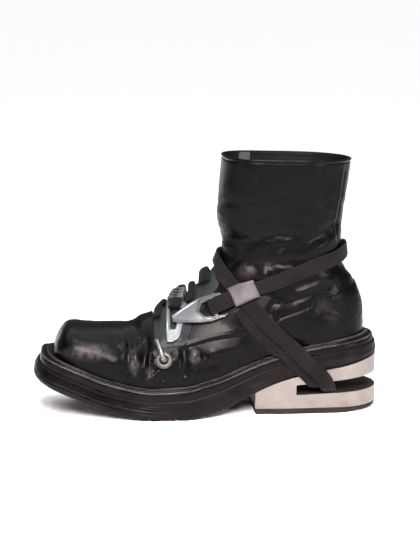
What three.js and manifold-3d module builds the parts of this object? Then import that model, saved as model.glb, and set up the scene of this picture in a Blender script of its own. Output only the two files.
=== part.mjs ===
import * as THREE from "three";
import Module from "manifold-3d";
import { mergeVertices } from "three/addons/utils/BufferGeometryUtils.js";

const wasm = await Module();
wasm.setup();

// Driving sizes in millimetres. The toe points to -X, the outer side of the foot to -Y.
const bootLength = 310;
const ballWidth = 108;
const heelWidth = 74;
const heelRise = 50;
const upperHeight = 194;
const ankleWidth = 67;
const wall = 2;
const gap = 0.3;
const outsoleThickness = 9;
const midsoleThickness = 8;
const weltThickness = 8;
const weltRidge = 3.6;
const toeSetback = 17;
const heelSetback = 13;
const edgeInset = 6;
const toeRound = 32;
const toeSquareness = 3.2;
const heelRound = 40;
const heelRoundness = 2.1;
const weltWidth = 16;
const insoleThickness = 3;
const insoleEase = 1.6;
const tongueThickness = 1.6;
const counterThickness = 1.2;
const ribDepth = 1.3;
const treadWidth = 3;
const treadDepth = 1.4;
const treadPitch = 12;
const treadRows = 8;
const heelBlockLength = 114;
const heelLiftThickness = 5;
const heelPlateThickness = 12;
const heelPlateRise = 2.5;
const slotLength = 77;
const slotHeight = 9;
const slotOpening = 4.5;
const liftWearLength = 34;
const liftWear = 3.2;
const strapWidth = 13.5;
const strapThickness = 1.6;
const strapEase = 0.5;
const metalThickness = 1.6;
const strapClampAt = 14.5;
const strapClampLength = 24;
const linkClampAt = 9;
const linkClampLength = 11;
const tongueMargin = 9;

// Table with named columns.
function namedRows(names, rows) {
  return rows.map((row) => Object.fromEntries(names.map((name, i) => [name, row[i]])));
}

// Plan of the sole: half widths on the outer (lateral) and inner (medial) side, as shares of a half width.
const planRows = [
  { along: 0, of: ballWidth, lateral: 0.74, medial: 0.78 },
  { along: 0.145, of: ballWidth, lateral: 0.833, medial: 0.889 },
  { along: 0.242, of: ballWidth, lateral: 0.926, medial: 0.963 },
  { along: 0.339, of: ballWidth, lateral: 1, medial: 1 },
  { along: 0.419, of: ballWidth, lateral: 1, medial: 0.907 },
  { along: 0.5, of: ballWidth, lateral: 0.926, medial: 0.796 },
  { along: 0.597, of: heelWidth, lateral: 1.16, medial: 1.03 },
  { along: 0.694, of: heelWidth, lateral: 1.05, medial: 0.97 },
  { along: 0.79, of: heelWidth, lateral: 1.027, medial: 1 },
  { along: 1, of: heelWidth, lateral: 1, medial: 1 },
];

// Side line of the sole: height of its underside as a share of the heel's rise, and how full its layers are.
const soleRows = [
  { along: 0, under: 0.66, thick: 1 },
  { along: 0.048, under: 0.55, thick: 1 },
  { along: 0.135, under: 0.33, thick: 1 },
  { along: 0.194, under: 0.182, thick: 1 },
  { along: 0.252, under: 0.086, thick: 1 },
  { along: 0.3, under: 0.026, thick: 1 },
  { along: 0.339, under: 0, thick: 1 },
  { along: 0.442, under: 0, thick: 1.06 },
  { along: 0.484, under: 0.044, thick: 1.1 },
  { along: 0.542, under: 0.146, thick: 1.08 },
  { along: 0.6, under: 0.304, thick: 1.03 },
  { along: 0.642, under: 0.43, thick: 0.97 },
  { along: 0.694, under: 0.57, thick: 0.88 },
  { along: 0.771, under: 0.71, thick: 0.86 },
  { along: 0.89, under: 0.85, thick: 0.82 },
  { along: 1, under: 1, thick: 0.7 },
];

// Sections of the upper from toe to collar. Each is flat and runs from its front, on the ridge or shin, to
// its back, on the welt (backUp 0) or on the heel and shaft. Heights are shares of upperHeight above the
// welt's outer rim. wide is a share of the sole's half width, or of half the ankle's where onShaft is 1.
const toeStart = toeSetback / bootLength;
const heelEnd = 1 - heelSetback / bootLength;
const sectionRows = namedRows(
  ["frontAlong", "frontUp", "backAlong", "backUp", "wide", "onShaft", "full", "square", "close", "lean"],
  [
    [toeStart, 0, toeStart, 0, 1.02, 0, 0.7, 2.6, 0.7, 0],
    [0.06, 0.036, 0.063, 0, 1.02, 0, 0.7, 2.6, 0.7, 0],
    [0.0687, 0.085, 0.0774, 0, 1.02, 0, 0.7, 2.6, 0.7, 0],
    [0.0774, 0.117, 0.092, 0, 1.02, 0, 0.7, 2.6, 0.7, 0],
    [0.089, 0.148, 0.11, 0, 1.02, 0, 0.7, 2.6, 0.7, 0.005],
    [0.1006, 0.169, 0.129, 0, 1.025, 0, 0.72, 2.6, 0.7, 0.01],
    [0.1645, 0.216, 0.2, 0, 1.03, 0, 0.75, 2.5, 0.7, 0.02],
    [0.2516, 0.251, 0.313, 0, 1.03, 0, 0.8, 2.3, 0.7, 0.03],
    [0.287, 0.267, 0.364, 0, 1.03, 0, 0.82, 2.2, 0.7, 0.03],
    [0.31, 0.298, 0.41, 0, 1.04, 0, 0.82, 2.1, 0.7, 0.03],
    [0.3516, 0.327, 0.484, 0, 1.06, 0, 0.8, 2.05, 0.65, 0.03],
    [0.4113, 0.374, 0.613, 0, 1.12, 0, 0.72, 2, 0.6, 0.025],
    [0.4694, 0.428, 0.774, 0, 1.17, 0.3, 0.62, 2, 0.55, 0.02],
    [0.498, 0.457, 0.881, 0, 1.14, 0.6, 0.58, 2, 0.55, 0.012],
    [0.5245, 0.5, heelEnd, 0, 1.06, 1, 0.54, 2, 0.55, 0.006],
    [0.5435, 0.549, 0.9565, 0.126, 1.04, 1, 0.52, 2.05, 0.55, 0],
    [0.547, 0.598, 0.934, 0.2495, 1.01, 1, 0.5, 2.1, 0.55, 0],
    [0.5435, 0.652, 0.902, 0.3536, 1, 1, 0.48, 2.2, 0.55, 0],
    [0.535, 0.732, 0.8935, 0.505, 1.05, 1, 0.44, 2.4, 0.55, 0],
    [0.539, 0.854, 0.906, 0.675, 1.16, 1, 0.4, 2.6, 0.55, 0],
    [0.549, 1, 0.916, 0.8335, 1.25, 1, 0.36, 2.8, 0.58, 0],
  ],
);
const heelSection = sectionRows.findIndex((row) => row.backUp > 0) - 1;
const collarSection = sectionRows.length - 1;

// A curve through rows of [at, value] that never overshoots between them, so flats stay flat.
function curveThrough(points) {
  const last = points.length - 1;
  const steps = [];
  const slopes = [];
  for (let i = 0; i < last; i++) {
    steps.push(points[i + 1][0] - points[i][0]);
    slopes.push((points[i + 1][1] - points[i][1]) / steps[i]);
  }
  const tangents = points.map((_, i) => {
    if (i === 0) return slopes[0];
    if (i === last) return slopes[last - 1];
    if (slopes[i - 1] * slopes[i] <= 0) return 0;
    const before = 2 * steps[i] + steps[i - 1];
    const after = steps[i] + 2 * steps[i - 1];
    return (before + after) / (before / slopes[i - 1] + after / slopes[i]);
  });
  return (at) => {
    let i = 0;
    while (i < last - 1 && at > points[i + 1][0]) i++;
    const t = THREE.MathUtils.clamp((at - points[i][0]) / steps[i], 0, 1);
    const rise = t * t * (3 - 2 * t);
    return (
      points[i][1] * (1 - rise) +
      points[i + 1][1] * rise +
      steps[i] * t * (1 - t) * (tangents[i] * (1 - t) - tangents[i + 1] * t)
    );
  };
}

const column = (rows, at, value) => curveThrough(rows.map((row, i) => [at(row, i), value(row)]));
const byAlong = (row) => row.along;
const byIndex = (row, i) => i;
const planHalf = {
  lateral: column(planRows, byAlong, (row) => (row.lateral * row.of) / 2),
  medial: column(planRows, byAlong, (row) => (row.medial * row.of) / 2),
};
const underShare = column(soleRows, byAlong, (row) => row.under);
const thickShare = column(soleRows, byAlong, (row) => row.thick);
const sectionColumn = {};
for (const key of Object.keys(sectionRows[0])) {
  sectionColumn[key] = column(sectionRows, byIndex, (row) => row[key]);
}

const xAt = (along) => (along - 0.5) * bootLength;
const alongAt = (x) => x / bootLength + 0.5;
const toeX = -bootLength / 2;
const heelX = bootLength / 2;
const soleThickness = outsoleThickness + midsoleThickness + weltThickness;

// Height of the sole at x, up through the given thickness of its layers.
const underAt = (x) => heelRise * underShare(alongAt(x));
const layerAt = (x, thickness) => underAt(x) + thickness * thickShare(alongAt(x));
const rimAt = (x) => layerAt(x, soleThickness);
const edgeAt = (x) => rimAt(x) + weltRidge + gap;

// Height of a share of upperHeight over the welt's rim. The upper's own edge stands on the welt's ridge.
const heightOver = (x, up) => rimAt(x) + Math.max(up * upperHeight, weltRidge + gap);

// Share of full width left at a distance from a rounded end.
function endShare(distance, length, power) {
  if (distance >= length) return 1;
  return (1 - (1 - Math.max(distance, 0) / length) ** power) ** (1 / power);
}

function halfAt(x, side, inset, front, back) {
  const core = planHalf[side < 0 ? "lateral" : "medial"](alongAt(x)) - inset;
  const toe = endShare(x - toeX - front, toeRound, toeSquareness);
  const heel = endShare(heelX - back - x, heelRound, heelRoundness);
  return core * toe * heel;
}

const mix = THREE.MathUtils.lerp;

// Point of the upper's skin. s counts sections, turn goes from the ridge (0) round to the back (-1 on the outer
// side, 1 on the inner).
function skinPoint(s, turn) {
  let around = turn;
  if (around > 1) around -= 2;
  if (around < -1) around += 2;
  const side = around < 0 ? -1 : 1;
  const share = (1 - Math.cos(Math.PI * Math.abs(around))) / 2;
  const row = {};
  for (const key of Object.keys(sectionColumn)) row[key] = sectionColumn[key](s);
  const frontX = xAt(row.frontAlong);
  const backX = xAt(row.backAlong);
  const frontZ = heightOver(frontX, row.frontUp);
  const backZ = heightOver(backX, row.backUp);
  const core = planHalf[side < 0 ? "lateral" : "medial"](row.backAlong) - edgeInset;
  const footHalf = core * endShare(backX - toeX - toeSetback, toeRound, toeSquareness);
  const half = row.wide * mix(footHalf, ankleWidth / 2, row.onShaft);
  const edgeHalf = s < heelSection ? halfAt(backX, side, edgeInset, toeSetback, heelSetback) : 0;
  const edge = half > 0 ? Math.min(edgeHalf / half, 1) : 1;
  const rise = endShare(share, row.full, row.square);
  const reach = (1 - edge ** heelRoundness) ** (1 / heelRoundness);
  const past = Math.max(share - row.close, 0) / (1 - row.close);
  const fall = (1 - (past * reach) ** heelRoundness) ** (1 / heelRoundness);
  return new THREE.Vector3(
    mix(frontX, backX, share),
    side * half * rise * fall + row.lean * ballWidth * (1 - share) ** 2,
    mix(frontZ, backZ, share),
  );
}

function skinNormal(s, turn) {
  if (s <= 0) return new THREE.Vector3(-1, 0, 0);
  const ds = 0.02;
  const dt = 0.01;
  const joined = s >= heelSection;
  const t0 = joined ? turn - dt : Math.max(turn - dt, -1);
  const t1 = joined ? turn + dt : Math.min(turn + dt, 1);
  const s0 = Math.max(s - ds, 0);
  const s1 = Math.min(s + ds, collarSection);
  const alongTurn = skinPoint(s, t1).sub(skinPoint(s, t0));
  const alongS = skinPoint(s1, turn).sub(skinPoint(s0, turn));
  const normal = alongS.cross(alongTurn).normalize();
  if (s >= heelSection && Math.abs(turn) === 1) normal.setY(0).normalize();
  return normal;
}

const offSkin = (s, turn, out) => skinPoint(s, turn).addScaledVector(skinNormal(s, turn), out);

// Solids
function solidOf(positions, triangles) {
  const merged = new Map();
  const places = [];
  const index = positions.map((p) => {
    const key = [p.x, p.y, p.z].map((value) => Math.round(value * 1e4)).join();
    if (!merged.has(key)) {
      merged.set(key, places.length / 3);
      places.push(p.x, p.y, p.z);
    }
    return merged.get(key);
  });
  const faces = [];
  for (const [a, b, c] of triangles) {
    const face = [index[a], index[b], index[c]];
    if (new Set(face).size === 3) faces.push(...face);
  }
  const mesh = new wasm.Mesh({
    numProp: 3,
    vertProperties: Float32Array.from(places),
    triVerts: Uint32Array.from(faces),
  });
  return new wasm.Manifold(mesh);
}

function solidFrom(geometry) {
  geometry.deleteAttribute("normal");
  geometry.deleteAttribute("uv");
  const merged = mergeVertices(geometry, 1e-4);
  const mesh = new wasm.Mesh({
    numProp: 3,
    vertProperties: Float32Array.from(merged.attributes.position.array),
    triVerts: Uint32Array.from(merged.index.array),
  });
  return new wasm.Manifold(mesh);
}

function quad(list, a, b, c, d) {
  list.push([a, b, c], [a, c, d]);
}

// Wall of the upper between two offsets from its skin, open at the collar and along the sole's edge, where
// it is left long by edgeTrim and cut to the sole.
const edgeTrim = 1;
const sectionParts = { 1: 1, 2: 1, 3: 1, 4: 1, 5: 1, 8: 1, 9: 1, 13: 3, 14: 5, 19: 1, 20: 1 };
const sectionSteps = [0];
for (let row = 1; row <= collarSection; row++) {
  const parts = sectionParts[row] ?? 2;
  for (let part = 1; part <= parts; part++) sectionSteps.push(row - 1 + part / parts);
}
const heelStep = sectionSteps.indexOf(heelSection);
const turnSteps = 12;

function shell(outer, inner) {
  const positions = [];
  const triangles = [];
  const columns = 2 * turnSteps + 1;
  const layerSize = sectionSteps.length * columns;
  for (const out of [outer, inner]) {
    for (const s of sectionSteps) {
      for (let j = -turnSteps; j <= turnSteps; j++) {
        const turn = j / turnSteps;
        const point = offSkin(s, turn, out);
        const atEdge = Math.abs(j) === turnSteps && s <= heelSection;
        if (atEdge || s === 0) point.z = skinPoint(s, turn).z - edgeTrim;
        if (s === collarSection) point.z = skinPoint(s, turn).z;
        positions.push(point);
      }
    }
  }
  const at = (layer, i, j) => layer * layerSize + i * columns + j;
  for (let i = 0; i + 1 < sectionSteps.length; i++) {
    for (let j = 0; j + 1 < columns; j++) {
      quad(triangles, at(0, i, j), at(0, i + 1, j), at(0, i + 1, j + 1), at(0, i, j + 1));
      quad(triangles, at(1, i, j), at(1, i, j + 1), at(1, i + 1, j + 1), at(1, i + 1, j));
    }
    if (i < heelStep) {
      const end = columns - 1;
      quad(triangles, at(0, i, 0), at(1, i, 0), at(1, i + 1, 0), at(0, i + 1, 0));
      quad(triangles, at(0, i, end), at(0, i + 1, end), at(1, i + 1, end), at(1, i, end));
    }
  }
  const top = sectionSteps.length - 1;
  for (let j = 0; j + 1 < columns; j++) {
    quad(triangles, at(0, top, j), at(1, top, j), at(1, top, j + 1), at(0, top, j + 1));
  }
  return solidOf(positions, triangles).subtract(belowEdge());
}

// Side outline in X and Z, as a prism across the boot.
function sidePrism(corners, from = -ballWidth, to = ballWidth) {
  const shape = new THREE.Shape(corners.map(([x, z]) => new THREE.Vector2(x, z)));
  const prism = new THREE.ExtrudeGeometry(shape, { depth: to - from, bevelEnabled: false, curveSegments: 6 });
  prism.rotateX(Math.PI / 2).translate(0, to, 0);
  return solidFrom(prism);
}

// Slab with the sole's plan, lofted through levels from bottom to top.
function slab(levels, stations) {
  const positions = [];
  const triangles = [];
  for (const level of levels) {
    const start = toeX + level.front;
    const end = heelX - level.back;
    for (let i = 0; i <= stations; i++) {
      const x = mix(start, end, (1 - Math.cos((Math.PI * i) / stations)) / 2);
      const inset = level.inset + (level.groove ?? 0) * ribFade(x);
      for (const side of [-1, 1]) {
        const atTip = i === 0 || i === stations;
        const half = atTip ? 0 : halfAt(x, side, inset, level.front, level.back);
        positions.push(new THREE.Vector3(x, side * half, level.height(x)));
      }
    }
  }
  const size = 2 * (stations + 1);
  const at = (level, i, side) => level * size + 2 * i + side;
  const top = levels.length - 1;
  for (let i = 0; i < stations; i++) {
    quad(triangles, at(0, i, 0), at(0, i, 1), at(0, i + 1, 1), at(0, i + 1, 0));
    quad(triangles, at(top, i, 0), at(top, i + 1, 0), at(top, i + 1, 1), at(top, i, 1));
    for (let level = 0; level < top; level++) {
      quad(triangles, at(level, i, 0), at(level, i + 1, 0), at(level + 1, i + 1, 0), at(level + 1, i, 0));
      quad(triangles, at(level, i, 1), at(level + 1, i, 1), at(level + 1, i + 1, 1), at(level, i + 1, 1));
    }
  }
  return solidOf(positions, triangles);
}

// The ribs of the sole's side are deepest at the toe and fade out behind the ball.
const ribFade = (x) => 1 - THREE.MathUtils.smoothstep(alongAt(x), 0.12, 0.42);
const soleStations = 30;

const weltTop = { front: toeSetback - 2.5, back: heelSetback - 2, inset: edgeInset - 1.2 };

// Everything under the upper's edge.
function belowEdge() {
  const around = { ...weltTop, inset: -4 };
  return slab(
    [
      { ...around, height: (x) => layerAt(x, 0) },
      { ...around, height: edgeAt },
    ],
    soleStations,
  );
}

function outsoleSolid() {
  const at = (share) => (x) => layerAt(x, outsoleThickness * share - (share === 1 ? gap : 0));
  let solid = slab(
    [
      { front: 5, back: 3, inset: 2.5, height: at(0) },
      { front: 1, back: 0.6, inset: 0.5, height: at(0.3) },
      { front: 0, back: 0, inset: 0, height: at(0.55) },
      { front: 0.4, back: 0.3, inset: 0.2, height: at(0.85) },
      { front: 1.5, back: 1, inset: 0.8, groove: 0.8 * ribDepth, height: at(1) },
    ],
    soleStations,
  );
  for (let row = 0; row < treadRows; row++) {
    const x = xAt(0.484) - row * treadPitch;
    const slope = Math.atan2(underAt(x + treadWidth) - underAt(x - treadWidth), 2 * treadWidth);
    const bar = new THREE.BoxGeometry(treadWidth, 2 * ballWidth, 2 * treadDepth);
    bar.rotateY(-slope).translate(x, 0, underAt(x));
    solid = solid.subtract(solidFrom(bar));
  }
  return solid;
}

function midsoleSolid() {
  const at = (share) => {
    const top = outsoleThickness + midsoleThickness * share - (share === 1 ? gap : 0);
    return (x) => layerAt(x, top);
  };
  return slab(
    [
      { front: 2, back: 1.2, inset: 1, groove: 0.8 * ribDepth, height: at(0) },
      { front: 1.6, back: 0.8, inset: 0.5, height: at(0.2) },
      { front: 2.2, back: 0.8, inset: 0.5, height: at(0.38) },
      { front: 3, back: 0.9, inset: 0.5, groove: ribDepth, height: at(0.5) },
      { front: 3, back: 0.9, inset: 0.4, height: at(0.62) },
      { front: 4, back: 1.2, inset: 0.6, height: at(0.85) },
      { front: 5.5, back: 2, inset: 1.5, groove: ribDepth, height: at(1) },
    ],
    soleStations,
  );
}

function weltSolid() {
  const base = outsoleThickness + midsoleThickness;
  const at = (share) => (x) => layerAt(x, base + weltThickness * share);
  const body = slab(
    [
      { front: 6.5, back: 3.5, inset: 1.8, height: at(0) },
      { front: 6, back: 3, inset: 1.2, height: at(0.3) },
      { front: 7, back: 3.5, inset: 1.5, height: at(0.7) },
      { front: 8.5, back: 5, inset: 2.2, height: at(1) },
      { ...weltTop, height: (x) => edgeAt(x) - gap },
    ],
    soleStations,
  );
  const hole = { front: toeSetback + weltWidth, back: heelSetback + weltWidth, inset: edgeInset + weltWidth };
  const opening = slab(
    [
      { ...hole, height: at(-1) },
      { ...hole, height: at(3) },
    ],
    soleStations,
  );
  return body.subtract(opening);
}

function insoleSolid() {
  const inWelt = {
    front: toeSetback + weltWidth + gap,
    back: heelSetback + weltWidth + gap,
    inset: edgeInset + weltWidth + gap,
  };
  const side = wall + gap + insoleEase;
  const inUpper = { front: toeSetback + side, back: heelSetback + side, inset: edgeInset + side };
  const base = outsoleThickness + midsoleThickness;
  return slab(
    [
      { ...inWelt, height: (x) => layerAt(x, base) + gap / 2 },
      { ...inWelt, height: (x) => edgeAt(x) },
      { ...inUpper, height: (x) => edgeAt(x) + gap },
      { ...inUpper, height: (x) => edgeAt(x) + insoleThickness },
    ],
    soleStations,
  );
}

// Metal heel: a plate under the sole and a plate over the lift, joined in front of a slot open to the back.
const breastX = heelX - heelBlockLength;
const slotX = heelX - slotLength;
const plateTop = heelLiftThickness + gap + heelPlateThickness;

function heelPlan(inset) {
  const points = [];
  const steps = 16;
  const start = breastX + inset;
  const end = heelX - inset;
  for (const side of [-1, 1]) {
    for (let i = 0; i <= steps; i++) {
      const share = Math.sin((Math.PI / 2) * (side < 0 ? i / steps : 1 - i / steps));
      const x = mix(start, end, share);
      const breastTaper = 2 * (1 - THREE.MathUtils.smoothstep(share, 0, 0.3));
      const core = planHalf[side < 0 ? "lateral" : "medial"](Math.max(alongAt(x), 0.694)) - inset - breastTaper;
      const half = core * endShare(end - x, heelRound, heelRoundness);
      if (side > 0 && i === 0) continue;
      points.push(new THREE.Vector2(x, side * half));
    }
  }
  return new THREE.Shape(points);
}

function heelOutline(inset) {
  const body = new THREE.ExtrudeGeometry(heelPlan(inset), { depth: 2 * heelRise, bevelEnabled: false });
  body.translate(0, 0, -heelRise / 2);
  return solidFrom(body);
}

function heelBlockSolid() {
  const corners = [[breastX, heelLiftThickness + gap]];
  const steps = 8;
  for (let i = 0; i <= steps; i++) {
    const x = mix(breastX, heelX, i / steps);
    corners.push([x, underAt(x) - gap]);
  }
  corners.push([heelX, plateTop + heelPlateRise + slotHeight + slotOpening]);
  corners.push([slotX, plateTop + slotHeight]);
  corners.push([slotX, plateTop]);
  corners.push([heelX, plateTop + heelPlateRise]);
  corners.push([heelX, heelLiftThickness + gap]);
  return sidePrism(corners).intersect(heelOutline(0.4));
}

function heelLiftSolid() {
  const profile = sidePrism([
    [breastX, 0],
    [breastX, heelLiftThickness],
    [heelX, heelLiftThickness],
    [heelX, liftWear],
    [heelX - liftWearLength, 0],
  ]);
  return profile.intersect(heelOutline(0.8));
}

// Throat, as corners on the side of the boot: shares of bootLength, and of upperHeight above the sole's edge.
const throatRows = [
  { along: 0.345, up: 0.6 },
  { along: 0.345, up: 0.33 },
  { along: 0.3435, up: 0.207 },
  { along: 0.352, up: 0.2 },
  { along: 0.425, up: 0.205 },
  { along: 0.434, up: 0.215 },
  { along: 0.455, up: 0.288 },
  { along: 0.5, up: 0.36 },
  { along: 0.532, up: 0.415 },
  { along: 0.541, up: 0.46 },
  { along: 0.546, up: 0.53 },
  { along: 0.53, up: 0.6 },
];
const sideCorner = (row) => [xAt(row.along), rimAt(xAt(row.along)) + row.up * upperHeight];

// The same outline moved outwards by a margin.
function widened(corners, margin) {
  const count = corners.length;
  return corners.map((corner, i) => {
    const before = corners[(i + count - 1) % count];
    const after = corners[(i + 1) % count];
    const first = new THREE.Vector2(corner[0] - before[0], corner[1] - before[1]).normalize();
    const second = new THREE.Vector2(after[0] - corner[0], after[1] - corner[1]).normalize();
    const out = first.add(second).normalize();
    return [corner[0] - out.y * -margin, corner[1] + out.x * -margin];
  });
}

function upperSolid() {
  return shell(0, -wall).subtract(sidePrism(throatRows.map(sideCorner))).subtract(eyeletHole());
}

function tongueSolid() {
  const outline = sidePrism(widened(throatRows.map(sideCorner), tongueMargin));
  return shell(-wall - gap, -wall - gap - tongueThickness).intersect(outline);
}

// Heel counter overlay, from its front edge over the quarter round the back.
const counterRows = [
  { along: 0.755, up: -0.1 },
  { along: 0.75, up: 0.02 },
  { along: 0.715, up: 0.1 },
  { along: 0.692, up: 0.15 },
  { along: 0.684, up: 0.172 },
  { along: 0.7, up: 0.185 },
  { along: 0.76, up: 0.19 },
  { along: 0.83, up: 0.215 },
  { along: 0.9, up: 0.248 },
  { along: 1, up: 0.265 },
  { along: 1, up: -0.1 },
];

function counterSolid() {
  return shell(gap + counterThickness, gap).intersect(sidePrism(counterRows.map(sideCorner)));
}

// Straps
// Section and turn of the skin's point seen from the side at x and z. Sections are straight from the side, so
// the one through the point is found by halving.
function skinAt(x, z, side) {
  let low = 0;
  let high = collarSection;
  for (let i = 0; i < 40; i++) {
    const middle = (low + high) / 2;
    const front = skinPoint(middle, 0);
    const back = skinPoint(middle, 1);
    const turned = (back.x - front.x) * (z - front.z) - (back.z - front.z) * (x - front.x);
    if (turned > 0) low = middle;
    else high = middle;
  }
  const front = skinPoint(low, 0);
  const back = skinPoint(low, 1);
  const share = THREE.MathUtils.clamp((x - front.x) / (back.x - front.x), 0, 1);
  return { s: low, turn: (side * Math.acos(1 - 2 * share)) / Math.PI };
}

// Section whose front or back line reaches a height share.
function sectionReaching(key, up) {
  let low = key === "backUp" ? heelSection : 0;
  let high = collarSection;
  for (let i = 0; i < 40; i++) {
    const middle = (low + high) / 2;
    if (sectionColumn[key](middle) < up) low = middle;
    else high = middle;
  }
  return low;
}

// Row of a strap's route to a place on the skin. Turns run on past the ridge and the back without a jump.
function skinPlace(row, before) {
  let place;
  if (row.on === "ridge") place = { s: sectionReaching("frontUp", row.up), turn: 0 };
  else if (row.on === "back") place = { s: sectionReaching("backUp", row.up), turn: 1 };
  else {
    const [x, z] = sideCorner(row);
    place = skinAt(x, z, row.on === "outer" ? -1 : 1);
  }
  if (before) place.turn += 2 * Math.round((before.turn - place.turn) / 2);
  return { ...place, layer: row.layer };
}

const layerLift = (layer) => strapEase + layer * (strapThickness + gap);

function wrapped(turn) {
  return turn - 2 * Math.round(turn / 2);
}

// Smooth path over the skin through a route's rows, measured along its length.
function skinPath(rows) {
  const places = [];
  for (const row of rows) places.push(skinPlace(row, places[places.length - 1]));
  const distances = [0];
  for (let i = 1; i < places.length; i++) {
    const from = skinPoint(places[i - 1].s, wrapped(places[i - 1].turn));
    const to = skinPoint(places[i].s, wrapped(places[i].turn));
    distances.push(distances[i - 1] + from.distanceTo(to));
  }
  const follow = (key) => curveThrough(places.map((place, i) => [distances[i], place[key]]));
  const s = follow("s");
  const turn = follow("turn");
  const layer = follow("layer");
  return {
    length: distances[distances.length - 1],
    at: (d) => ({ s: s(d), turn: wrapped(turn(d)), lift: layerLift(layer(d)) }),
  };
}

// Place on the skin nearest a point, starting from a place close by.
function nearestPlace(point, start) {
  let { s, turn } = start;
  const step = 0.01;
  for (let i = 0; i < 3; i++) {
    const here = skinPoint(s, turn);
    const alongS = skinPoint(s + step, turn).sub(skinPoint(s - step, turn)).divideScalar(2 * step);
    const alongTurn = skinPoint(s, turn + step).sub(skinPoint(s, turn - step)).divideScalar(2 * step);
    const off = point.clone().sub(here);
    const [a, b, c] = [alongS.dot(alongS), alongS.dot(alongTurn), alongTurn.dot(alongTurn)];
    const [p, q] = [alongS.dot(off), alongTurn.dot(off)];
    const det = a * c - b * b;
    s += (p * c - q * b) / det;
    turn += (q * a - p * b) / det;
  }
  return { s, turn };
}

// Cross rows of a strap lying on the skin: for each station, points across its width at a height over the skin.
const acrossSteps = 2;

function skinStations(path, from, to, spacing) {
  const count = Math.max(Math.round((to - from) / spacing), 1);
  const stations = [];
  for (let i = 0; i <= count; i++) {
    const d = mix(from, to, i / count);
    const place = path.at(d);
    const before = path.at(Math.max(d - 1, 0));
    const after = path.at(Math.min(d + 1, path.length));
    const normal = skinNormal(place.s, place.turn);
    const tangent = skinPoint(after.s, after.turn).sub(skinPoint(before.s, before.turn));
    const across = normal.clone().cross(tangent).normalize();
    const center = skinPoint(place.s, place.turn);
    const point = (aside, height) => {
      const near = nearestPlace(center.clone().addScaledVector(across, aside), place);
      return offSkin(near.s, near.turn, place.lift + height);
    };
    stations.push({ point });
  }
  return stations;
}

// Solid of a strap or sleeve through its stations, between two heights over the strap's own underside.
function strip(stations, width, low, high) {
  const positions = [];
  const triangles = [];
  const size = 2 * (acrossSteps + 1);
  for (const station of stations) {
    for (let k = 0; k <= acrossSteps; k++) positions.push(station.point((k / acrossSteps - 0.5) * width, low));
    for (let k = acrossSteps; k >= 0; k--) positions.push(station.point((k / acrossSteps - 0.5) * width, high));
  }
  for (let i = 0; i + 1 < stations.length; i++) {
    for (let k = 0; k < size; k++) {
      const next = (k + 1) % size;
      quad(triangles, i * size + k, (i + 1) * size + k, (i + 1) * size + next, i * size + next);
    }
  }
  const end = (stations.length - 1) * size;
  for (let k = 0; k < acrossSteps; k++) {
    quad(triangles, k, k + 1, size - 2 - k, size - 1 - k);
    quad(triangles, end + k, end + size - 1 - k, end + size - 2 - k, end + k + 1);
  }
  const solid = solidOf(positions, triangles);
  return solid.volume() < 0 ? solidOf(positions, triangles.map(([a, b, c]) => [a, c, b])) : solid;
}

// Stretch of a strap that hangs clear of the skin, past the sole's side and in through the heel's slot. out is
// a share of half the heel's width, up of the heel's rise, face turns its outside from sideways to down.
const slotRows = [
  { along: 0.755, out: 1.03, up: 1.12, face: 0, lean: 47 },
  { along: 0.773, out: 1.04, up: 1.0, face: 0, lean: 47 },
  { along: 0.8, out: 1.04, up: 0.84, face: 0, lean: 46 },
  { along: 0.828, out: 1.04, up: 0.665, face: 4, lean: 40 },
  { along: 0.84, out: 1.04, up: 0.56, face: 30, lean: 26 },
  { along: 0.845, out: 0.98, up: 0.51, face: 70, lean: 12 },
  { along: 0.847, out: 0.88, up: 0.495, face: 90, lean: 3 },
  { along: 0.847, out: 0.4, up: 0.49, face: 90, lean: 0 },
];

function slotStations(shift, layer) {
  const outer = slotRows.map((row) => {
    const face = THREE.MathUtils.degToRad(row.face);
    const lean = THREE.MathUtils.degToRad(row.lean);
    const normal = new THREE.Vector3(0, -Math.cos(face), -Math.sin(face));
    const down = new THREE.Vector3(0, Math.sin(face), -Math.cos(face));
    const tangent = down.multiplyScalar(Math.cos(lean)).add(new THREE.Vector3(Math.sin(lean), 0, 0));
    const across = normal.clone().cross(tangent).normalize();
    const center = new THREE.Vector3(xAt(row.along) + shift, (-row.out * heelWidth) / 2, row.up * heelRise);
    center.addScaledVector(normal, layer * (strapThickness + gap));
    const flip = new THREE.Vector3(1, -1, 1);
    const near = (aside, height) =>
      center.clone().addScaledVector(across, aside).addScaledVector(normal, height);
    return {
      near: { point: near },
      far: { point: (aside, height) => near(aside, height).multiply(flip) },
    };
  });
  return [...outer.map((pair) => pair.near), ...outer.reverse().map((pair) => pair.far)];
}

const strapSpacing = 10;
const bandSpacing = 7;

// Ankle strap: from the hook round the ankle, over the shin, down the outer side and through the heel's slot.
const ankleRows = [
  { on: "outer", along: 0.5245, up: 0.33, layer: 2.6 },
  { on: "outer", along: 0.603, up: 0.348, layer: 2.9 },
  { on: "outer", along: 0.66, up: 0.352, layer: 1 },
  { on: "outer", along: 0.7, up: 0.356, layer: 0 },
  { on: "outer", along: 0.758, up: 0.369, layer: 0 },
  { on: "outer", along: 0.8355, up: 0.389, layer: 0 },
  { on: "back", up: 0.417, layer: 1.5 },
  { on: "inner", along: 0.8355, up: 0.405, layer: 0 },
  { on: "inner", along: 0.74, up: 0.425, layer: 0 },
  { on: "inner", along: 0.63, up: 0.46, layer: 0.4 },
  { on: "ridge", up: 0.527, layer: 1.2 },
  { on: "outer", along: 0.55, up: 0.455, layer: 0.2 },
  { on: "outer", along: 0.583, up: 0.367, layer: 0.6 },
  { on: "outer", along: 0.6226, up: 0.276, layer: 1 },
  { on: "outer", along: 0.688, up: 0.134, layer: 1.3 },
  { on: "outer", along: 0.724, up: 0.065, layer: 1.9 },
];
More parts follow.
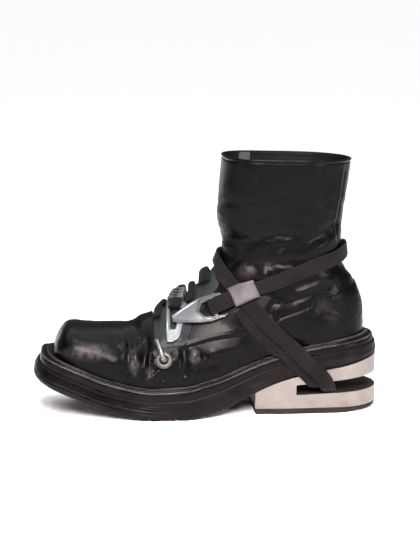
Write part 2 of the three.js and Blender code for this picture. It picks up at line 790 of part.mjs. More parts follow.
const ankleEndRows = [
  { on: "inner", along: 0.724, up: 0.065, layer: 3.4 },
  { on: "inner", along: 0.688, up: 0.134, layer: 1.6 },
  { on: "inner", along: 0.64, up: 0.235, layer: 1 },
];
const anklePath = skinPath(ankleRows);

function ankleStrapSolid() {
  const end = skinPath(ankleEndRows);
  const stations = [
    ...skinStations(anklePath, 0, anklePath.length, strapSpacing),
    ...slotStations(0, 1.9),
    ...skinStations(end, 0, end.length, strapSpacing),
  ];
  return strip(stations, strapWidth, 0, strapThickness);
}

// Heel strap: under the ankle strap and in front of it, through the same slot.
const heelStrapShift = -11;
const heelStrapRows = [
  { on: "outer", along: 0.589, up: 0.288, layer: 0 },
  { on: "outer", along: 0.6, up: 0.26, layer: 0 },
  { on: "outer", along: 0.655, up: 0.125, layer: 0 },
  { on: "outer", along: 0.688, up: 0.052, layer: 0 },
];
const heelStrapEndRows = [
  { on: "inner", along: 0.688, up: 0.052, layer: 0 },
  { on: "inner", along: 0.655, up: 0.125, layer: 0 },
  { on: "inner", along: 0.615, up: 0.22, layer: 0 },
];

function heelStrapSolid() {
  const start = skinPath(heelStrapRows);
  const end = skinPath(heelStrapEndRows);
  const stations = [
    ...skinStations(start, 0, start.length, strapSpacing),
    ...slotStations(heelStrapShift, 0),
    ...skinStations(end, 0, end.length, strapSpacing),
  ];
  return strip(stations, strapWidth, 0, strapThickness);
}

// Elastic bands over the instep.
const bandWidth = 12;
const narrowBandWidth = 7.5;
const frontBandRows = [
  { on: "outer", along: 0.356, up: 0.31, layer: 0 },
  { on: "outer", along: 0.374, up: 0.344, layer: 0.5 },
  { on: "ridge", up: 0.354, layer: 1.1 },
  { on: "inner", along: 0.385, up: 0.32, layer: 0 },
  { on: "inner", along: 0.388, up: 0.2, layer: 0 },
];
const middleBandRows = [
  { on: "outer", along: 0.453, up: 0.372, layer: 0 },
  { on: "ridge", up: 0.424, layer: 0.9 },
  { on: "inner", along: 0.475, up: 0.37, layer: 0 },
  { on: "inner", along: 0.478, up: 0.26, layer: 0 },
];
const rearBandRows = [
  { on: "outer", along: 0.497, up: 0.432, layer: 0.6 },
  { on: "ridge", up: 0.467, layer: 2 },
  { on: "inner", along: 0.518, up: 0.4, layer: 0 },
  { on: "inner", along: 0.52, up: 0.27, layer: 0 },
];
const linkBandRows = [
  { on: "outer", along: 0.409, up: 0.34, layer: 1.4 },
  { on: "outer", along: 0.4205, up: 0.373, layer: 2.2 },
  { on: "ridge", up: 0.4, layer: 3 },
  { on: "inner", along: 0.437, up: 0.355, layer: 0.4 },
  { on: "inner", along: 0.437, up: 0.23, layer: 0 },
];

function bandSolid(rows, width) {
  const path = skinPath(rows);
  return strip(skinStations(path, 0, path.length, bandSpacing), width, 0, strapThickness);
}

// Metal sleeve crimped round a strap, between two distances along its path. Its room follows the strap's own
// stations.
const sleeveLip = 1.2;
const sleeveEase = 2 * gap;

function sleeveSolid(path, spacing, from, length, width) {
  const step = path.length / Math.max(Math.round(path.length / spacing), 1);
  const until = from + length;
  const first = Math.floor((from - step / 2) / step) * step;
  const last = Math.ceil((until + step / 2) / step) * step;
  const rows = skinStations(path, first, last, step);
  const between = (d) => {
    const i = Math.min(Math.floor((d - first) / step), rows.length - 2);
    const share = (d - first) / step - i;
    return {
      point: (aside, height) => rows[i].point(aside, height).lerp(rows[i + 1].point(aside, height), share),
    };
  };
  const stops = [from, until];
  for (let i = 1; i < rows.length; i++) {
    const stop = first + i * step;
    if (stop > from + gap && stop < until - gap) stops.splice(-1, 0, stop);
  }
  const room = strip(rows, width + 2 * sleeveEase, -sleeveEase, strapThickness + sleeveEase);
  const low = -sleeveEase - sleeveLip / 2;
  const high = strapThickness + sleeveEase + sleeveLip / 2;
  return strip(stops.map(between), width + 2 * (sleeveEase + sleeveLip), low, high).subtract(room);
}

// Outline on a plate, from rows of shares of its length and width round a centre seen from the side.
function outlineAt(rows, center, length, width, degrees) {
  const angle = THREE.MathUtils.degToRad(degrees);
  const ahead = [-Math.cos(angle), -Math.sin(angle)];
  const above = [-Math.sin(angle), Math.cos(angle)];
  return rows.map((row) => [
    center[0] + row.ahead * length * ahead[0] + row.above * width * above[0],
    center[1] + row.ahead * length * ahead[1] + row.above * width * above[1],
  ]);
}

// Hook plate. ahead runs from the strap's bar to the tip.
const hookLength = 42;
const hookWidth = 22;
const hookCenter = { along: 0.526, up: 0.337 };
const hookLean = 16.6;
const hookLift = 2.6;
const hookOutline = [
  { ahead: 1, above: 0.1 },
  { ahead: 0.68, above: 0.28 },
  { ahead: 0.33, above: 0.45 },
  { ahead: 0.03, above: 0.5 },
  { ahead: -0.12, above: 0.46 },
  { ahead: -0.19, above: 0.36 },
  { ahead: -0.06, above: 0.33 },
  { ahead: 0.04, above: 0.33 },
  { ahead: 0.04, above: -0.33 },
  { ahead: -0.06, above: -0.34 },
  { ahead: -0.16, above: -0.36 },
  { ahead: -0.1, above: -0.46 },
  { ahead: 0.19, above: -0.49 },
  { ahead: 0.46, above: -0.4 },
  { ahead: 0.75, above: -0.24 },
  { ahead: 1, above: -0.1 },
];
const hookWindow = [
  { ahead: 0.4, above: 0 },
  { ahead: 0.29, above: 0.25 },
  { ahead: 0.12, above: 0.3 },
  { ahead: 0.12, above: -0.3 },
  { ahead: 0.31, above: -0.25 },
];
const hookTooth = [
  { ahead: 0.95, above: 0.09 },
  { ahead: 0.89, above: 0.09 },
  { ahead: 0.89, above: -0.09 },
  { ahead: 0.95, above: -0.09 },
];
const toothDepth = 1.8;

function hookSolid() {
  const center = sideCorner(hookCenter);
  const place = (rows) => sidePrism(outlineAt(rows, center, hookLength, hookWidth, hookLean), -ballWidth, 0);
  const plate = shell(hookLift + metalThickness, hookLift);
  const tooth = shell(hookLift + metalThickness / 2, hookLift - toothDepth);
  return place(hookOutline).subtract(place(hookWindow)).intersect(plate).add(place(hookTooth).intersect(tooth));
}

// Link: flat ring that the hook catches. ahead runs from its top bar down to its plate.
const linkLength = 36;
const linkWidth = 16;
const linkCenter = { along: 0.41, up: 0.291 };
const linkLift = 0.7;
const linkOutline = [
  { ahead: -0.4, above: 0.456 },
  { ahead: -0.15, above: 0.569 },
  { ahead: 0.144, above: 0.625 },
  { ahead: 0.381, above: 0.625 },
  { ahead: 0.381, above: 0.294 },
  { ahead: 0.311, above: -0.019 },
  { ahead: 0.208, above: -0.175 },
  { ahead: -0.025, above: -0.344 },
  { ahead: -0.244, above: -0.525 },
  { ahead: -0.422, above: -0.606 },
  { ahead: -0.508, above: -0.419 },
  { ahead: -0.469, above: 0.194 },
];
const linkSlot = [
  { ahead: -0.25, above: 0.319 },
  { ahead: 0.106, above: 0.369 },
  { ahead: 0.106, above: 0.125 },
  { ahead: -0.092, above: -0.056 },
  { ahead: -0.372, above: -0.25 },
  { ahead: -0.372, above: 0.25 },
];

function linkSolid() {
  const center = sideCorner(linkCenter);
  const place = (rows) => sidePrism(outlineAt(rows, center, linkLength, linkWidth, 90), -ballWidth, 0);
  return place(linkOutline).subtract(place(linkSlot)).intersect(shell(linkLift + metalThickness, linkLift));
}

// Eyelet through the wall, and the wire clip that runs down into it.
const eyeletRadius = 6.8;
const eyeletBore = 3;
const eyeletSheet = 0.9;
const eyeletAt = { along: 0.369, up: 0.148 };
const wireRadius = 1.5;
const segments = 16;

// Turns a shape built along +Z to stand on the skin with its base at a lift over it.
function stoodOnSkin(geometry, row, lift) {
  const place = skinAt(...sideCorner(row), -1);
  const normal = skinNormal(place.s, place.turn);
  const base = offSkin(place.s, place.turn, lift);
  geometry.applyQuaternion(new THREE.Quaternion().setFromUnitVectors(new THREE.Vector3(0, 0, 1), normal));
  return geometry.translate(base.x, base.y, base.z);
}

function eyeletHole() {
  const radius = eyeletBore + eyeletSheet + gap;
  const bore = new THREE.CylinderGeometry(radius, radius, 8 * wall, segments);
  bore.rotateX(Math.PI / 2);
  return solidFrom(stoodOnSkin(bore, eyeletAt, 0));
}

function eyeletSolid() {
  const under = gap + 0.4;
  const crown = under + 1.6 * eyeletSheet;
  const points = [
    [eyeletBore, -wall - gap],
    [eyeletBore + eyeletSheet, -wall - gap],
    [eyeletBore + eyeletSheet, under],
    [eyeletRadius - 0.4, under],
    [eyeletRadius, under + 0.4 * eyeletSheet],
    [eyeletRadius - 1, crown],
    [eyeletBore + 1, crown],
    [eyeletBore, under],
    [eyeletBore, -wall - gap],
  ];
  const lathe = new THREE.LatheGeometry(points.map(([r, h]) => new THREE.Vector2(r, h)), segments);
  lathe.rotateX(Math.PI / 2);
  return solidFrom(stoodOnSkin(lathe, eyeletAt, 0));
}

const wireRows = [
  { along: 0.352, up: 0.23, lift: 2.3 },
  { along: 0.357, up: 0.206, lift: 2.6 },
  { along: 0.361, up: 0.186, lift: 4.2 },
  { along: 0.365, up: 0.1665, lift: 4.6 },
  { along: 0.3678, up: 0.153, lift: 3.6 },
  { along: 0.369, up: 0.147, lift: 1 },
  { along: 0.369, up: 0.147, lift: -2.2 },
];

function wireSolid() {
  const points = wireRows.map((row) => {
    const place = skinAt(...sideCorner(row), -1);
    return offSkin(place.s, place.turn, row.lift);
  });
  const round = new THREE.Shape().absarc(0, 0, wireRadius, 0, 2 * Math.PI, false);
  const wire = new THREE.ExtrudeGeometry(round, {
    extrudePath: new THREE.CatmullRomCurve3(points),
    steps: 10,
    curveSegments: 6,
  });
  return solidFrom(wire);
}

// Pull tab on the inner side, inside the collar.
const tabWidth = 11;
const tabLength = 25;
const tabThickness = 1.2;
const tabAlong = 0.622;
const tabDrop = 1.5;

function pullTabSolid() {
  const x = xAt(tabAlong);
  const place = skinAt(x, rimAt(x) + 0.92 * upperHeight, 1);
  const rim = skinPoint(collarSection, place.turn).z - tabDrop;
  const outline = [
    [x - tabWidth / 2, rim],
    [x - tabWidth / 2, rim - tabLength],
    [x + tabWidth / 2, rim - tabLength],
    [x + tabWidth / 2, rim],
  ];
  return shell(-wall - gap, -wall - gap - tabThickness).intersect(sidePrism(outline, 0, ballWidth));
}

// Materials
const leather = new THREE.MeshStandardMaterial({ color: 0x17181a, roughness: 0.35, metalness: 0 });
const lining = new THREE.MeshStandardMaterial({ color: 0x2b2a2b, roughness: 0.8, metalness: 0 });
const rubber = new THREE.MeshStandardMaterial({ color: 0x232122, roughness: 0.6, metalness: 0 });
const soleRubber = new THREE.MeshStandardMaterial({ color: 0x3a3638, roughness: 0.75, metalness: 0 });
const webbing = new THREE.MeshStandardMaterial({ color: 0x2a2628, roughness: 0.9, metalness: 0 });
const steel = new THREE.MeshStandardMaterial({ color: 0xc9c8c5, roughness: 0.3, metalness: 0.9 });
const heelMetal = new THREE.MeshStandardMaterial({ color: 0xd8d2cc, roughness: 0.35, metalness: 0.9 });

const boot = new THREE.Group();

function addPiece(name, solid, material) {
  const { numProp, numVert, vertProperties, triVerts } = solid.getMesh();
  const positions = new Float32Array(numVert * 3);
  for (let i = 0; i < numVert; i++) {
    positions.set(vertProperties.subarray(i * numProp, i * numProp + 3), i * 3);
  }
  const geometry = new THREE.BufferGeometry();
  geometry.setAttribute("position", new THREE.BufferAttribute(positions, 3));
  geometry.setIndex(new THREE.BufferAttribute(triVerts, 1));
  geometry.computeVertexNormals();
  const mesh = new THREE.Mesh(geometry, material.clone());
  mesh.name = name;
  boot.add(mesh);
}

addPiece("outsole", outsoleSolid(), soleRubber);
addPiece("midsole", midsoleSolid(), rubber);
addPiece("welt", weltSolid(), rubber);
addPiece("insole", insoleSolid(), lining);
addPiece("heel_block", heelBlockSolid(), heelMetal);
addPiece("heel_lift", heelLiftSolid(), soleRubber);
addPiece("upper", upperSolid(), leather);
addPiece("tongue", tongueSolid(), leather);
addPiece("heel_counter", counterSolid(), leather);
addPiece("strap_ankle", ankleStrapSolid(), webbing);
addPiece("strap_heel", heelStrapSolid(), webbing);
addPiece("band_front", bandSolid(frontBandRows, narrowBandWidth), webbing);
addPiece("band_middle", bandSolid(middleBandRows, narrowBandWidth), webbing);
addPiece("band_rear", bandSolid(rearBandRows, bandWidth), webbing);
addPiece("band_link", bandSolid(linkBandRows, bandWidth), webbing);
const strapClamp = sleeveSolid(anklePath, strapSpacing, strapClampAt, strapClampLength, strapWidth);
const linkBandPath = skinPath(linkBandRows);
const linkClamp = sleeveSolid(linkBandPath, bandSpacing, linkClampAt, linkClampLength, bandWidth);
addPiece("strap_clamp", strapClamp, steel);
addPiece("link_clamp", linkClamp, steel);
addPiece("hook", hookSolid(), steel);
addPiece("link", linkSolid(), steel);
addPiece("eyelet", eyeletSolid(), steel);
addPiece("eyelet_wire", wireSolid(), steel);
addPiece("pull_tab", pullTabSolid(), lining);

export default boot;
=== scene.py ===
"""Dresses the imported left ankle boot: creased leather, ribbed sole, webbing straps and metal fittings."""

import math

import bmesh
import bpy
import numpy as np
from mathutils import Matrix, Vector, noise
from mathutils.geometry import delaunay_2d_cdt


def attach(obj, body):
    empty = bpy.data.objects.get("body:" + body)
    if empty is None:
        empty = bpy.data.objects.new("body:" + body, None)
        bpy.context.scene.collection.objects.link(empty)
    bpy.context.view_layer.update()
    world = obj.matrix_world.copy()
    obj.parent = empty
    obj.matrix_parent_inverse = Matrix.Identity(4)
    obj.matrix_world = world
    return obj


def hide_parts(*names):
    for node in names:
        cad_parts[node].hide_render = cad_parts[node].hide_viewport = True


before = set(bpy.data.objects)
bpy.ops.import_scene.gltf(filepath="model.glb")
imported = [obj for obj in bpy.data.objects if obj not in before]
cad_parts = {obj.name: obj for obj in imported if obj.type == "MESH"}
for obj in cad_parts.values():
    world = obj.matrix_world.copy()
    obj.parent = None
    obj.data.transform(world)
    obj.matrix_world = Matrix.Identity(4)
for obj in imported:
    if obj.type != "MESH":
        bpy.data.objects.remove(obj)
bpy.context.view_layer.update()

# Driving sizes in millimetres, as in the solids. Blender's metres come in at the end, in add_mesh.
MM = 0.001
BOOT_LENGTH = 310
BALL_WIDTH = 108
HEEL_WIDTH = 74
HEEL_RISE = 50
UPPER_HEIGHT = 194
ANKLE_WIDTH = 67
WALL = 2
GAP = 0.3
OUTSOLE = 9
MIDSOLE = 8
WELT = 8
WELT_RIDGE = 3.6
TOE_SETBACK = 17
HEEL_SETBACK = 13
EDGE_INSET = 6
TOE_ROUND = 32
TOE_SQUARENESS = 3.2
HEEL_ROUND = 40
HEEL_ROUNDNESS = 2.1
WELT_WIDTH = 16
INSOLE = 3
INSOLE_EASE = 1.6
TONGUE = 1.6
COUNTER = 1.2
TREAD_WIDTH = 3
TREAD_DEPTH = 1.4
TREAD_PITCH = 12
TREAD_ROWS = 8
HEEL_BLOCK_LENGTH = 114
HEEL_LIFT = 5
HEEL_PLATE = 12
HEEL_PLATE_RISE = 2.5
SLOT_LENGTH = 77
SLOT_HEIGHT = 9
SLOT_OPENING = 4.5
LIFT_WEAR_LENGTH = 34
LIFT_WEAR = 3.2
STRAP_WIDTH = 13.5
BAND_WIDTH = 12
NARROW_BAND = 7.5
STRAP_THICKNESS = 1.6
STRAP_EASE = 0.5
METAL = 1.6


def table(names, *rows):
    """Rows of numbers under named columns."""
    return {name: np.array(column, float) for name, column in zip(names.split(), zip(*rows))}


# Plan of the sole: half widths on the outer and inner side, as shares of a half width.
PLAN = table(
    "along of lateral medial",
    (0, BALL_WIDTH, 0.74, 0.78),
    (0.145, BALL_WIDTH, 0.833, 0.889),
    (0.242, BALL_WIDTH, 0.926, 0.963),
    (0.339, BALL_WIDTH, 1, 1),
    (0.419, BALL_WIDTH, 1, 0.907),
    (0.5, BALL_WIDTH, 0.926, 0.796),
    (0.597, HEEL_WIDTH, 1.16, 1.03),
    (0.694, HEEL_WIDTH, 1.05, 0.97),
    (0.79, HEEL_WIDTH, 1.027, 1),
    (1, HEEL_WIDTH, 1, 1),
)

# Side line of the sole: height of its underside as a share of the heel's rise, and how full its layers are.
SOLE = table(
    "along under thick",
    (0, 0.66, 1),
    (0.048, 0.55, 1),
    (0.135, 0.33, 1),
    (0.194, 0.182, 1),
    (0.252, 0.086, 1),
    (0.3, 0.026, 1),
    (0.339, 0, 1),
    (0.442, 0, 1.06),
    (0.484, 0.044, 1.1),
    (0.542, 0.146, 1.08),
    (0.6, 0.304, 1.03),
    (0.642, 0.43, 0.97),
    (0.694, 0.57, 0.88),
    (0.771, 0.71, 0.86),
    (0.89, 0.85, 0.82),
    (1, 1, 0.7),
)

# Sections of the upper from toe to collar, from the ridge or shin to the welt, the heel or the shaft's back.
SECTIONS = table(
    "front_along front_up back_along back_up wide on_shaft full square close lean",
    (0.0548, 0, 0.0548, 0, 1.02, 0, 0.7, 2.6, 0.7, 0),
    (0.06, 0.036, 0.063, 0, 1.02, 0, 0.7, 2.6, 0.7, 0),
    (0.0687, 0.085, 0.0774, 0, 1.02, 0, 0.7, 2.6, 0.7, 0),
    (0.0774, 0.117, 0.092, 0, 1.02, 0, 0.7, 2.6, 0.7, 0),
    (0.089, 0.148, 0.11, 0, 1.02, 0, 0.7, 2.6, 0.7, 0.005),
    (0.1006, 0.169, 0.129, 0, 1.025, 0, 0.72, 2.6, 0.7, 0.01),
    (0.1645, 0.216, 0.2, 0, 1.03, 0, 0.75, 2.5, 0.7, 0.02),
    (0.2516, 0.251, 0.313, 0, 1.03, 0, 0.8, 2.3, 0.7, 0.03),
    (0.287, 0.267, 0.364, 0, 1.03, 0, 0.82, 2.2, 0.7, 0.03),
    (0.31, 0.298, 0.41, 0, 1.04, 0, 0.82, 2.1, 0.7, 0.03),
    (0.3516, 0.327, 0.484, 0, 1.06, 0, 0.8, 2.05, 0.65, 0.03),
    (0.4113, 0.374, 0.613, 0, 1.12, 0, 0.72, 2, 0.6, 0.025),
    (0.4694, 0.428, 0.774, 0, 1.17, 0.3, 0.62, 2, 0.55, 0.02),
    (0.498, 0.457, 0.881, 0, 1.14, 0.6, 0.58, 2, 0.55, 0.012),
    (0.5245, 0.5, 0.958, 0, 1.06, 1, 0.54, 2, 0.55, 0.006),
    (0.5435, 0.549, 0.9565, 0.126, 1.04, 1, 0.52, 2.05, 0.55, 0),
    (0.547, 0.598, 0.934, 0.2495, 1.01, 1, 0.5, 2.1, 0.55, 0),
    (0.5435, 0.652, 0.902, 0.3536, 1, 1, 0.48, 2.2, 0.55, 0),
    (0.535, 0.732, 0.8935, 0.505, 1.05, 1, 0.44, 2.4, 0.55, 0),
    (0.539, 0.854, 0.906, 0.675, 1.16, 1, 0.4, 2.6, 0.55, 0),
    (0.549, 1, 0.916, 0.8335, 1.25, 1, 0.36, 2.8, 0.58, 0),
)
HEEL_SECTION = 14
COLLAR_SECTION = len(SECTIONS["wide"]) - 1

TOE_X = -BOOT_LENGTH / 2
HEEL_X = BOOT_LENGTH / 2
SOLE_THICKNESS = OUTSOLE + MIDSOLE + WELT


# Forms shared with the solids
def curve_through(at, value):
    """Curve through rows of at and value that never overshoots between them."""
    at = np.asarray(at, float)
    value = np.asarray(value, float)
    step = np.diff(at)
    slope = np.diff(value) / step
    tangent = np.zeros(len(at))
    tangent[0] = slope[0]
    tangent[-1] = slope[-1]
    for i in range(1, len(at) - 1):
        if slope[i - 1] * slope[i] > 0:
            before = 2 * step[i] + step[i - 1]
            after = step[i] + 2 * step[i - 1]
            tangent[i] = (before + after) / (before / slope[i - 1] + after / slope[i])

    def follow(x):
        x = np.asarray(x, float)
        i = np.clip(np.searchsorted(at, x, side="left") - 1, 0, len(step) - 1)
        t = np.clip((x - at[i]) / step[i], 0, 1)
        rise = t * t * (3 - 2 * t)
        bend = step[i] * t * (1 - t) * (tangent[i] * (1 - t) - tangent[i + 1] * t)
        return value[i] * (1 - rise) + value[i + 1] * rise + bend

    return follow


PLAN_HALF = {
    side: curve_through(PLAN["along"], PLAN[side] * PLAN["of"] / 2) for side in ("lateral", "medial")
}
under_share = curve_through(SOLE["along"], SOLE["under"])
thick_share = curve_through(SOLE["along"], SOLE["thick"])
SECTION_COLUMN = {
    name: curve_through(np.arange(COLLAR_SECTION + 1), column) for name, column in SECTIONS.items()
}


def x_at(along):
    return (np.asarray(along, float) - 0.5) * BOOT_LENGTH


def along_at(x):
    return np.asarray(x, float) / BOOT_LENGTH + 0.5


def under_at(x):
    return HEEL_RISE * under_share(along_at(x))


def layer_at(x, thickness):
    return under_at(x) + thickness * thick_share(along_at(x))


def rim_at(x):
    return layer_at(x, SOLE_THICKNESS)


def edge_at(x):
    return rim_at(x) + WELT_RIDGE + GAP


def height_over(x, up):
    return rim_at(x) + np.maximum(up * UPPER_HEIGHT, WELT_RIDGE + GAP)


def end_share(distance, length, power):
    near = np.clip(np.asarray(distance, float) / length, 0, 1)
    return (1 - (1 - near) ** power) ** (1 / power)


def core_half(x, side):
    return np.where(side < 0, PLAN_HALF["lateral"](along_at(x)), PLAN_HALF["medial"](along_at(x)))


def half_at(x, side, inset, front, back):
    toe = end_share(x - TOE_X - front, TOE_ROUND, TOE_SQUARENESS)
    heel = end_share(HEEL_X - back - x, HEEL_ROUND, HEEL_ROUNDNESS)
    return (core_half(x, side) - inset) * toe * heel


def mix(a, b, t):
    return a + (b - a) * t


def smooth(x, low, high):
    t = np.clip((np.asarray(x, float) - low) / (high - low), 0, 1)
    return t * t * (3 - 2 * t)


def between(x, low, full, ebbing, gone):
    """Share that rises from 0 at low to 1 at full, and falls again from ebbing to gone."""
    return smooth(x, low, full) * (1 - smooth(x, ebbing, gone))


def bell(off, width):
    """Share that is 1 where off is 0 and fades over a width."""
    return np.exp(-((off / width) ** 2))


def side_of(turn):
    """Turn brought between -1 and 1, and its side: -1 is the outer one and 1 the inner one."""
    around = turn - 2 * np.round(turn / 2)
    return around, np.where(around < 0, -1.0, 1.0)


def skin_point(s, turn):
    """Points of the upper's skin. s counts sections; turn is 0 at the ridge and -1 or 1 at the back."""
    s, turn = np.broadcast_arrays(np.asarray(s, float), np.asarray(turn, float))
    around, side = side_of(turn)
    share = (1 - np.cos(np.pi * np.abs(around))) / 2
    row = {name: column(s) for name, column in SECTION_COLUMN.items()}
    front_x = x_at(row["front_along"])
    back_x = x_at(row["back_along"])
    front_z = height_over(front_x, row["front_up"])
    back_z = height_over(back_x, row["back_up"])
    foot_half = (core_half(back_x, side) - EDGE_INSET) * end_share(
        back_x - TOE_X - TOE_SETBACK, TOE_ROUND, TOE_SQUARENESS
    )
    half = row["wide"] * mix(foot_half, ANKLE_WIDTH / 2, row["on_shaft"])
    edge_half = np.where(s < HEEL_SECTION, half_at(back_x, side, EDGE_INSET, TOE_SETBACK, HEEL_SETBACK), 0)
    edge = np.where(half > 1e-9, np.minimum(edge_half / np.maximum(half, 1e-9), 1), 1)
    rise = end_share(share, row["full"], row["square"])
    reach = np.maximum(1 - edge**HEEL_ROUNDNESS, 0) ** (1 / HEEL_ROUNDNESS)
    past = np.maximum(share - row["close"], 0) / (1 - row["close"])
    fall = np.maximum(1 - (past * reach) ** HEEL_ROUNDNESS, 0) ** (1 / HEEL_ROUNDNESS)
    lean = row["lean"] * BALL_WIDTH * (1 - share) ** 2
    y = side * half * rise * fall + lean
    return np.stack([mix(front_x, back_x, share), y, mix(front_z, back_z, share)], -1)


def unit(v):
    return v / np.maximum(np.linalg.norm(v, axis=-1, keepdims=True), 1e-12)


def skin_normal(s, turn):
    s, turn = np.broadcast_arrays(np.asarray(s, float), np.asarray(turn, float))
    ds = 0.02
    dt = 0.01
    joined = s >= HEEL_SECTION
    t0 = np.where(joined, turn - dt, np.maximum(turn - dt, -1))
    t1 = np.where(joined, turn + dt, np.minimum(turn + dt, 1))
    s0 = np.maximum(s - ds, 0)
    s1 = np.minimum(s + ds, COLLAR_SECTION)
    along_s = skin_point(s1, turn) - skin_point(s0, turn)
    along_turn = skin_point(s, t1) - skin_point(s, t0)
    normal = unit(np.cross(along_s, along_turn))
    back = joined & (np.abs(turn) == 1)
    normal[..., 1] = np.where(back, 0, normal[..., 1])
    normal[s <= 0] = (-1, 0, 0)
    return unit(normal)


def off_skin(s, turn, out):
    return skin_point(s, turn) + skin_normal(s, turn) * np.asarray(out, float)[..., None]


def skin_at(x, z, side):
    """Section and turn of the skin's point seen from the side at x and z."""
    x, z, side = np.broadcast_arrays(np.asarray(x, float), np.asarray(z, float), np.asarray(side, float))
    low = np.zeros(x.shape)
    high = np.full(x.shape, float(COLLAR_SECTION))
    for _ in range(32):
        middle = (low + high) / 2
        front = skin_point(middle, 0)
        back = skin_point(middle, 1)
        turned = (back[..., 0] - front[..., 0]) * (z - front[..., 2]) - (back[..., 2] - front[..., 2]) * (
            x - front[..., 0]
        )
        low = np.where(turned > 0, middle, low)
        high = np.where(turned > 0, high, middle)
    front = skin_point(low, 0)
    back = skin_point(low, 1)
    share = np.clip((x - front[..., 0]) / (back[..., 0] - front[..., 0]), 0, 1)
    return low, side * np.arccos(1 - 2 * share) / np.pi


def side_points(rows):
    """Corners on the boot's side from rows of shares of the length and of the height over the rim."""
    rows = np.asarray(rows, float)
    x = x_at(rows[:, 0])
    return np.stack([x, rim_at(x) + rows[:, 1] * UPPER_HEIGHT], -1)


# Outlines in the side plane
THROAT = side_points(
    [(0.345, 0.6), (0.345, 0.33), (0.3435, 0.207), (0.352, 0.2), (0.425, 0.205), (0.434, 0.215)]
    + [(0.455, 0.288), (0.5, 0.36), (0.532, 0.415), (0.541, 0.46), (0.546, 0.53), (0.53, 0.6)]
)
COUNTER_EDGE = side_points(
    [(0.755, -0.1), (0.75, 0.02), (0.715, 0.1), (0.692, 0.15), (0.684, 0.172), (0.7, 0.185)]
    + [(0.76, 0.19), (0.83, 0.215), (0.9, 0.248), (1, 0.265), (1, -0.1)]
)


def to_line(points, line, closed=False):
    """Distance of 2-D points from a line of corners, and the nearest points on it."""
    points = np.asarray(points, float)
    line = np.asarray(line, float)
    ends = np.roll(line, -1, axis=0) if closed else line[1:]
    starts = line if closed else line[:-1]
    best = np.full(len(points), np.inf)
    nearest = np.zeros((len(points), 2))
    along = np.zeros(len(points))
    lengths = np.linalg.norm(ends - starts, axis=1)
    passed = 0.0
    total = lengths.sum()
    for a, b, length in zip(starts, ends, lengths):
        if length < 1e-9:
            continue
        t = np.clip(((points - a) @ (b - a)) / length**2, 0, 1)
        foot = a + t[:, None] * (b - a)
        distance = np.linalg.norm(points - foot, axis=1)
        closer = distance < best
        best = np.where(closer, distance, best)
        nearest[closer] = foot[closer]
        along = np.where(closer, (passed + t * length) / total, along)
        passed += length
    return best, nearest, along


def inside(points, corners):
    """Whether 2-D points lie inside a closed outline."""
    x, z = np.asarray(points, float).T
    found = np.zeros(len(x), bool)
    for (ax, az), (bx, bz) in zip(corners, np.roll(corners, -1, axis=0)):
        crosses = (az > z) != (bz > z)
        at = ax + (z - az) * (bx - ax) / (bz - az if bz != az else 1e-12)
        found ^= crosses & (x < at)
    return found


def widened(corners, margin):
    """The same outline moved outwards by a margin."""
    before = unit(corners - np.roll(corners, 1, axis=0))
    after = unit(np.roll(corners, -1, axis=0) - corners)
    out = unit(before + after)
    return corners + np.stack([out[:, 1], -out[:, 0]], -1) * margin * np.sign(area_of(corners))


def area_of(corners):
    x, z = corners.T
    return 0.5 * np.sum(x * np.roll(z, -1) - np.roll(x, -1) * z)


def rounded(line, parts=6, closed=False):
    """Catmull-Rom curve through a row of points, with parts steps between two of them."""
    line = np.asarray(line, float)
    if closed:
        ring = np.concatenate([line[-1:], line, line[:2]])
    else:
        ring = np.concatenate([2 * line[:1] - line[1:2], line, 2 * line[-1:] - line[-2:-1]])
    out = []
    for i in range(1, len(ring) - 2):
        p0, p1, p2, p3 = ring[i - 1], ring[i], ring[i + 1], ring[i + 2]
        for t in np.arange(parts) / parts:
            first = 2 * p1 + (p2 - p0) * t
            second = (2 * p0 - 5 * p1 + 4 * p2 - p3) * t * t
            out.append(0.5 * (first + second + (3 * p1 - p0 - 3 * p2 + p3) * t**3))
    if not closed:
        out.append(line[-1])
    return np.array(out)


def run_along(points):
    """Distance from the first of a row of points to each of them."""
    return np.concatenate([[0], np.cumsum(np.linalg.norm(np.diff(points, axis=0), axis=1))])


# Materials
def material(name):
    made = bpy.data.materials.new(name)
    made.use_nodes = True
    tree = made.node_tree
    shader = tree.nodes["Principled BSDF"]
    return made, tree, shader


def node(tree, kind, inputs=None, **settings):
    made = tree.nodes.new(kind)
    for key, value in settings.items():
        setattr(made, key, value)
    for key, value in (inputs or {}).items():
        socket = made.inputs[key]
        if isinstance(value, bpy.types.NodeSocket):
            tree.links.new(value, socket)
        else:
            socket.default_value = value
    return made


def texture(tree, scale, stretch=(1, 1, 1), detail=3.0, rough=0.5):
    """Noise in the boot's own space, scale per metre."""
    place = node(tree, "ShaderNodeTexCoord").outputs["Object"]
    mapping = node(tree, "ShaderNodeMapping", {"Vector": place, "Scale": stretch})
    inputs = {"Vector": mapping.outputs["Vector"], "Scale": scale, "Detail": detail, "Roughness": rough}
    return node(tree, "ShaderNodeTexNoise", inputs).outputs["Fac"]


def cells(tree, scale):
    """Distance from the edges of small cells, scale per metre."""
    place = node(tree, "ShaderNodeTexCoord").outputs["Object"]
    inputs = {"Vector": place, "Scale": scale}
    return node(tree, "ShaderNodeTexVoronoi", inputs, feature="DISTANCE_TO_EDGE").outputs["Distance"]


def ramp(tree, factor, stops):
    made = node(tree, "ShaderNodeValToRGB", {"Fac": factor})
    elements = made.color_ramp.elements
    while len(elements) < len(stops):
        elements.new(0.5)
    for element, (place, value) in zip(elements, stops):
        element.position = place
        element.color = (*value, 1) if hasattr(value, "__len__") else (value, value, value, 1)
    return made.outputs["Color"]


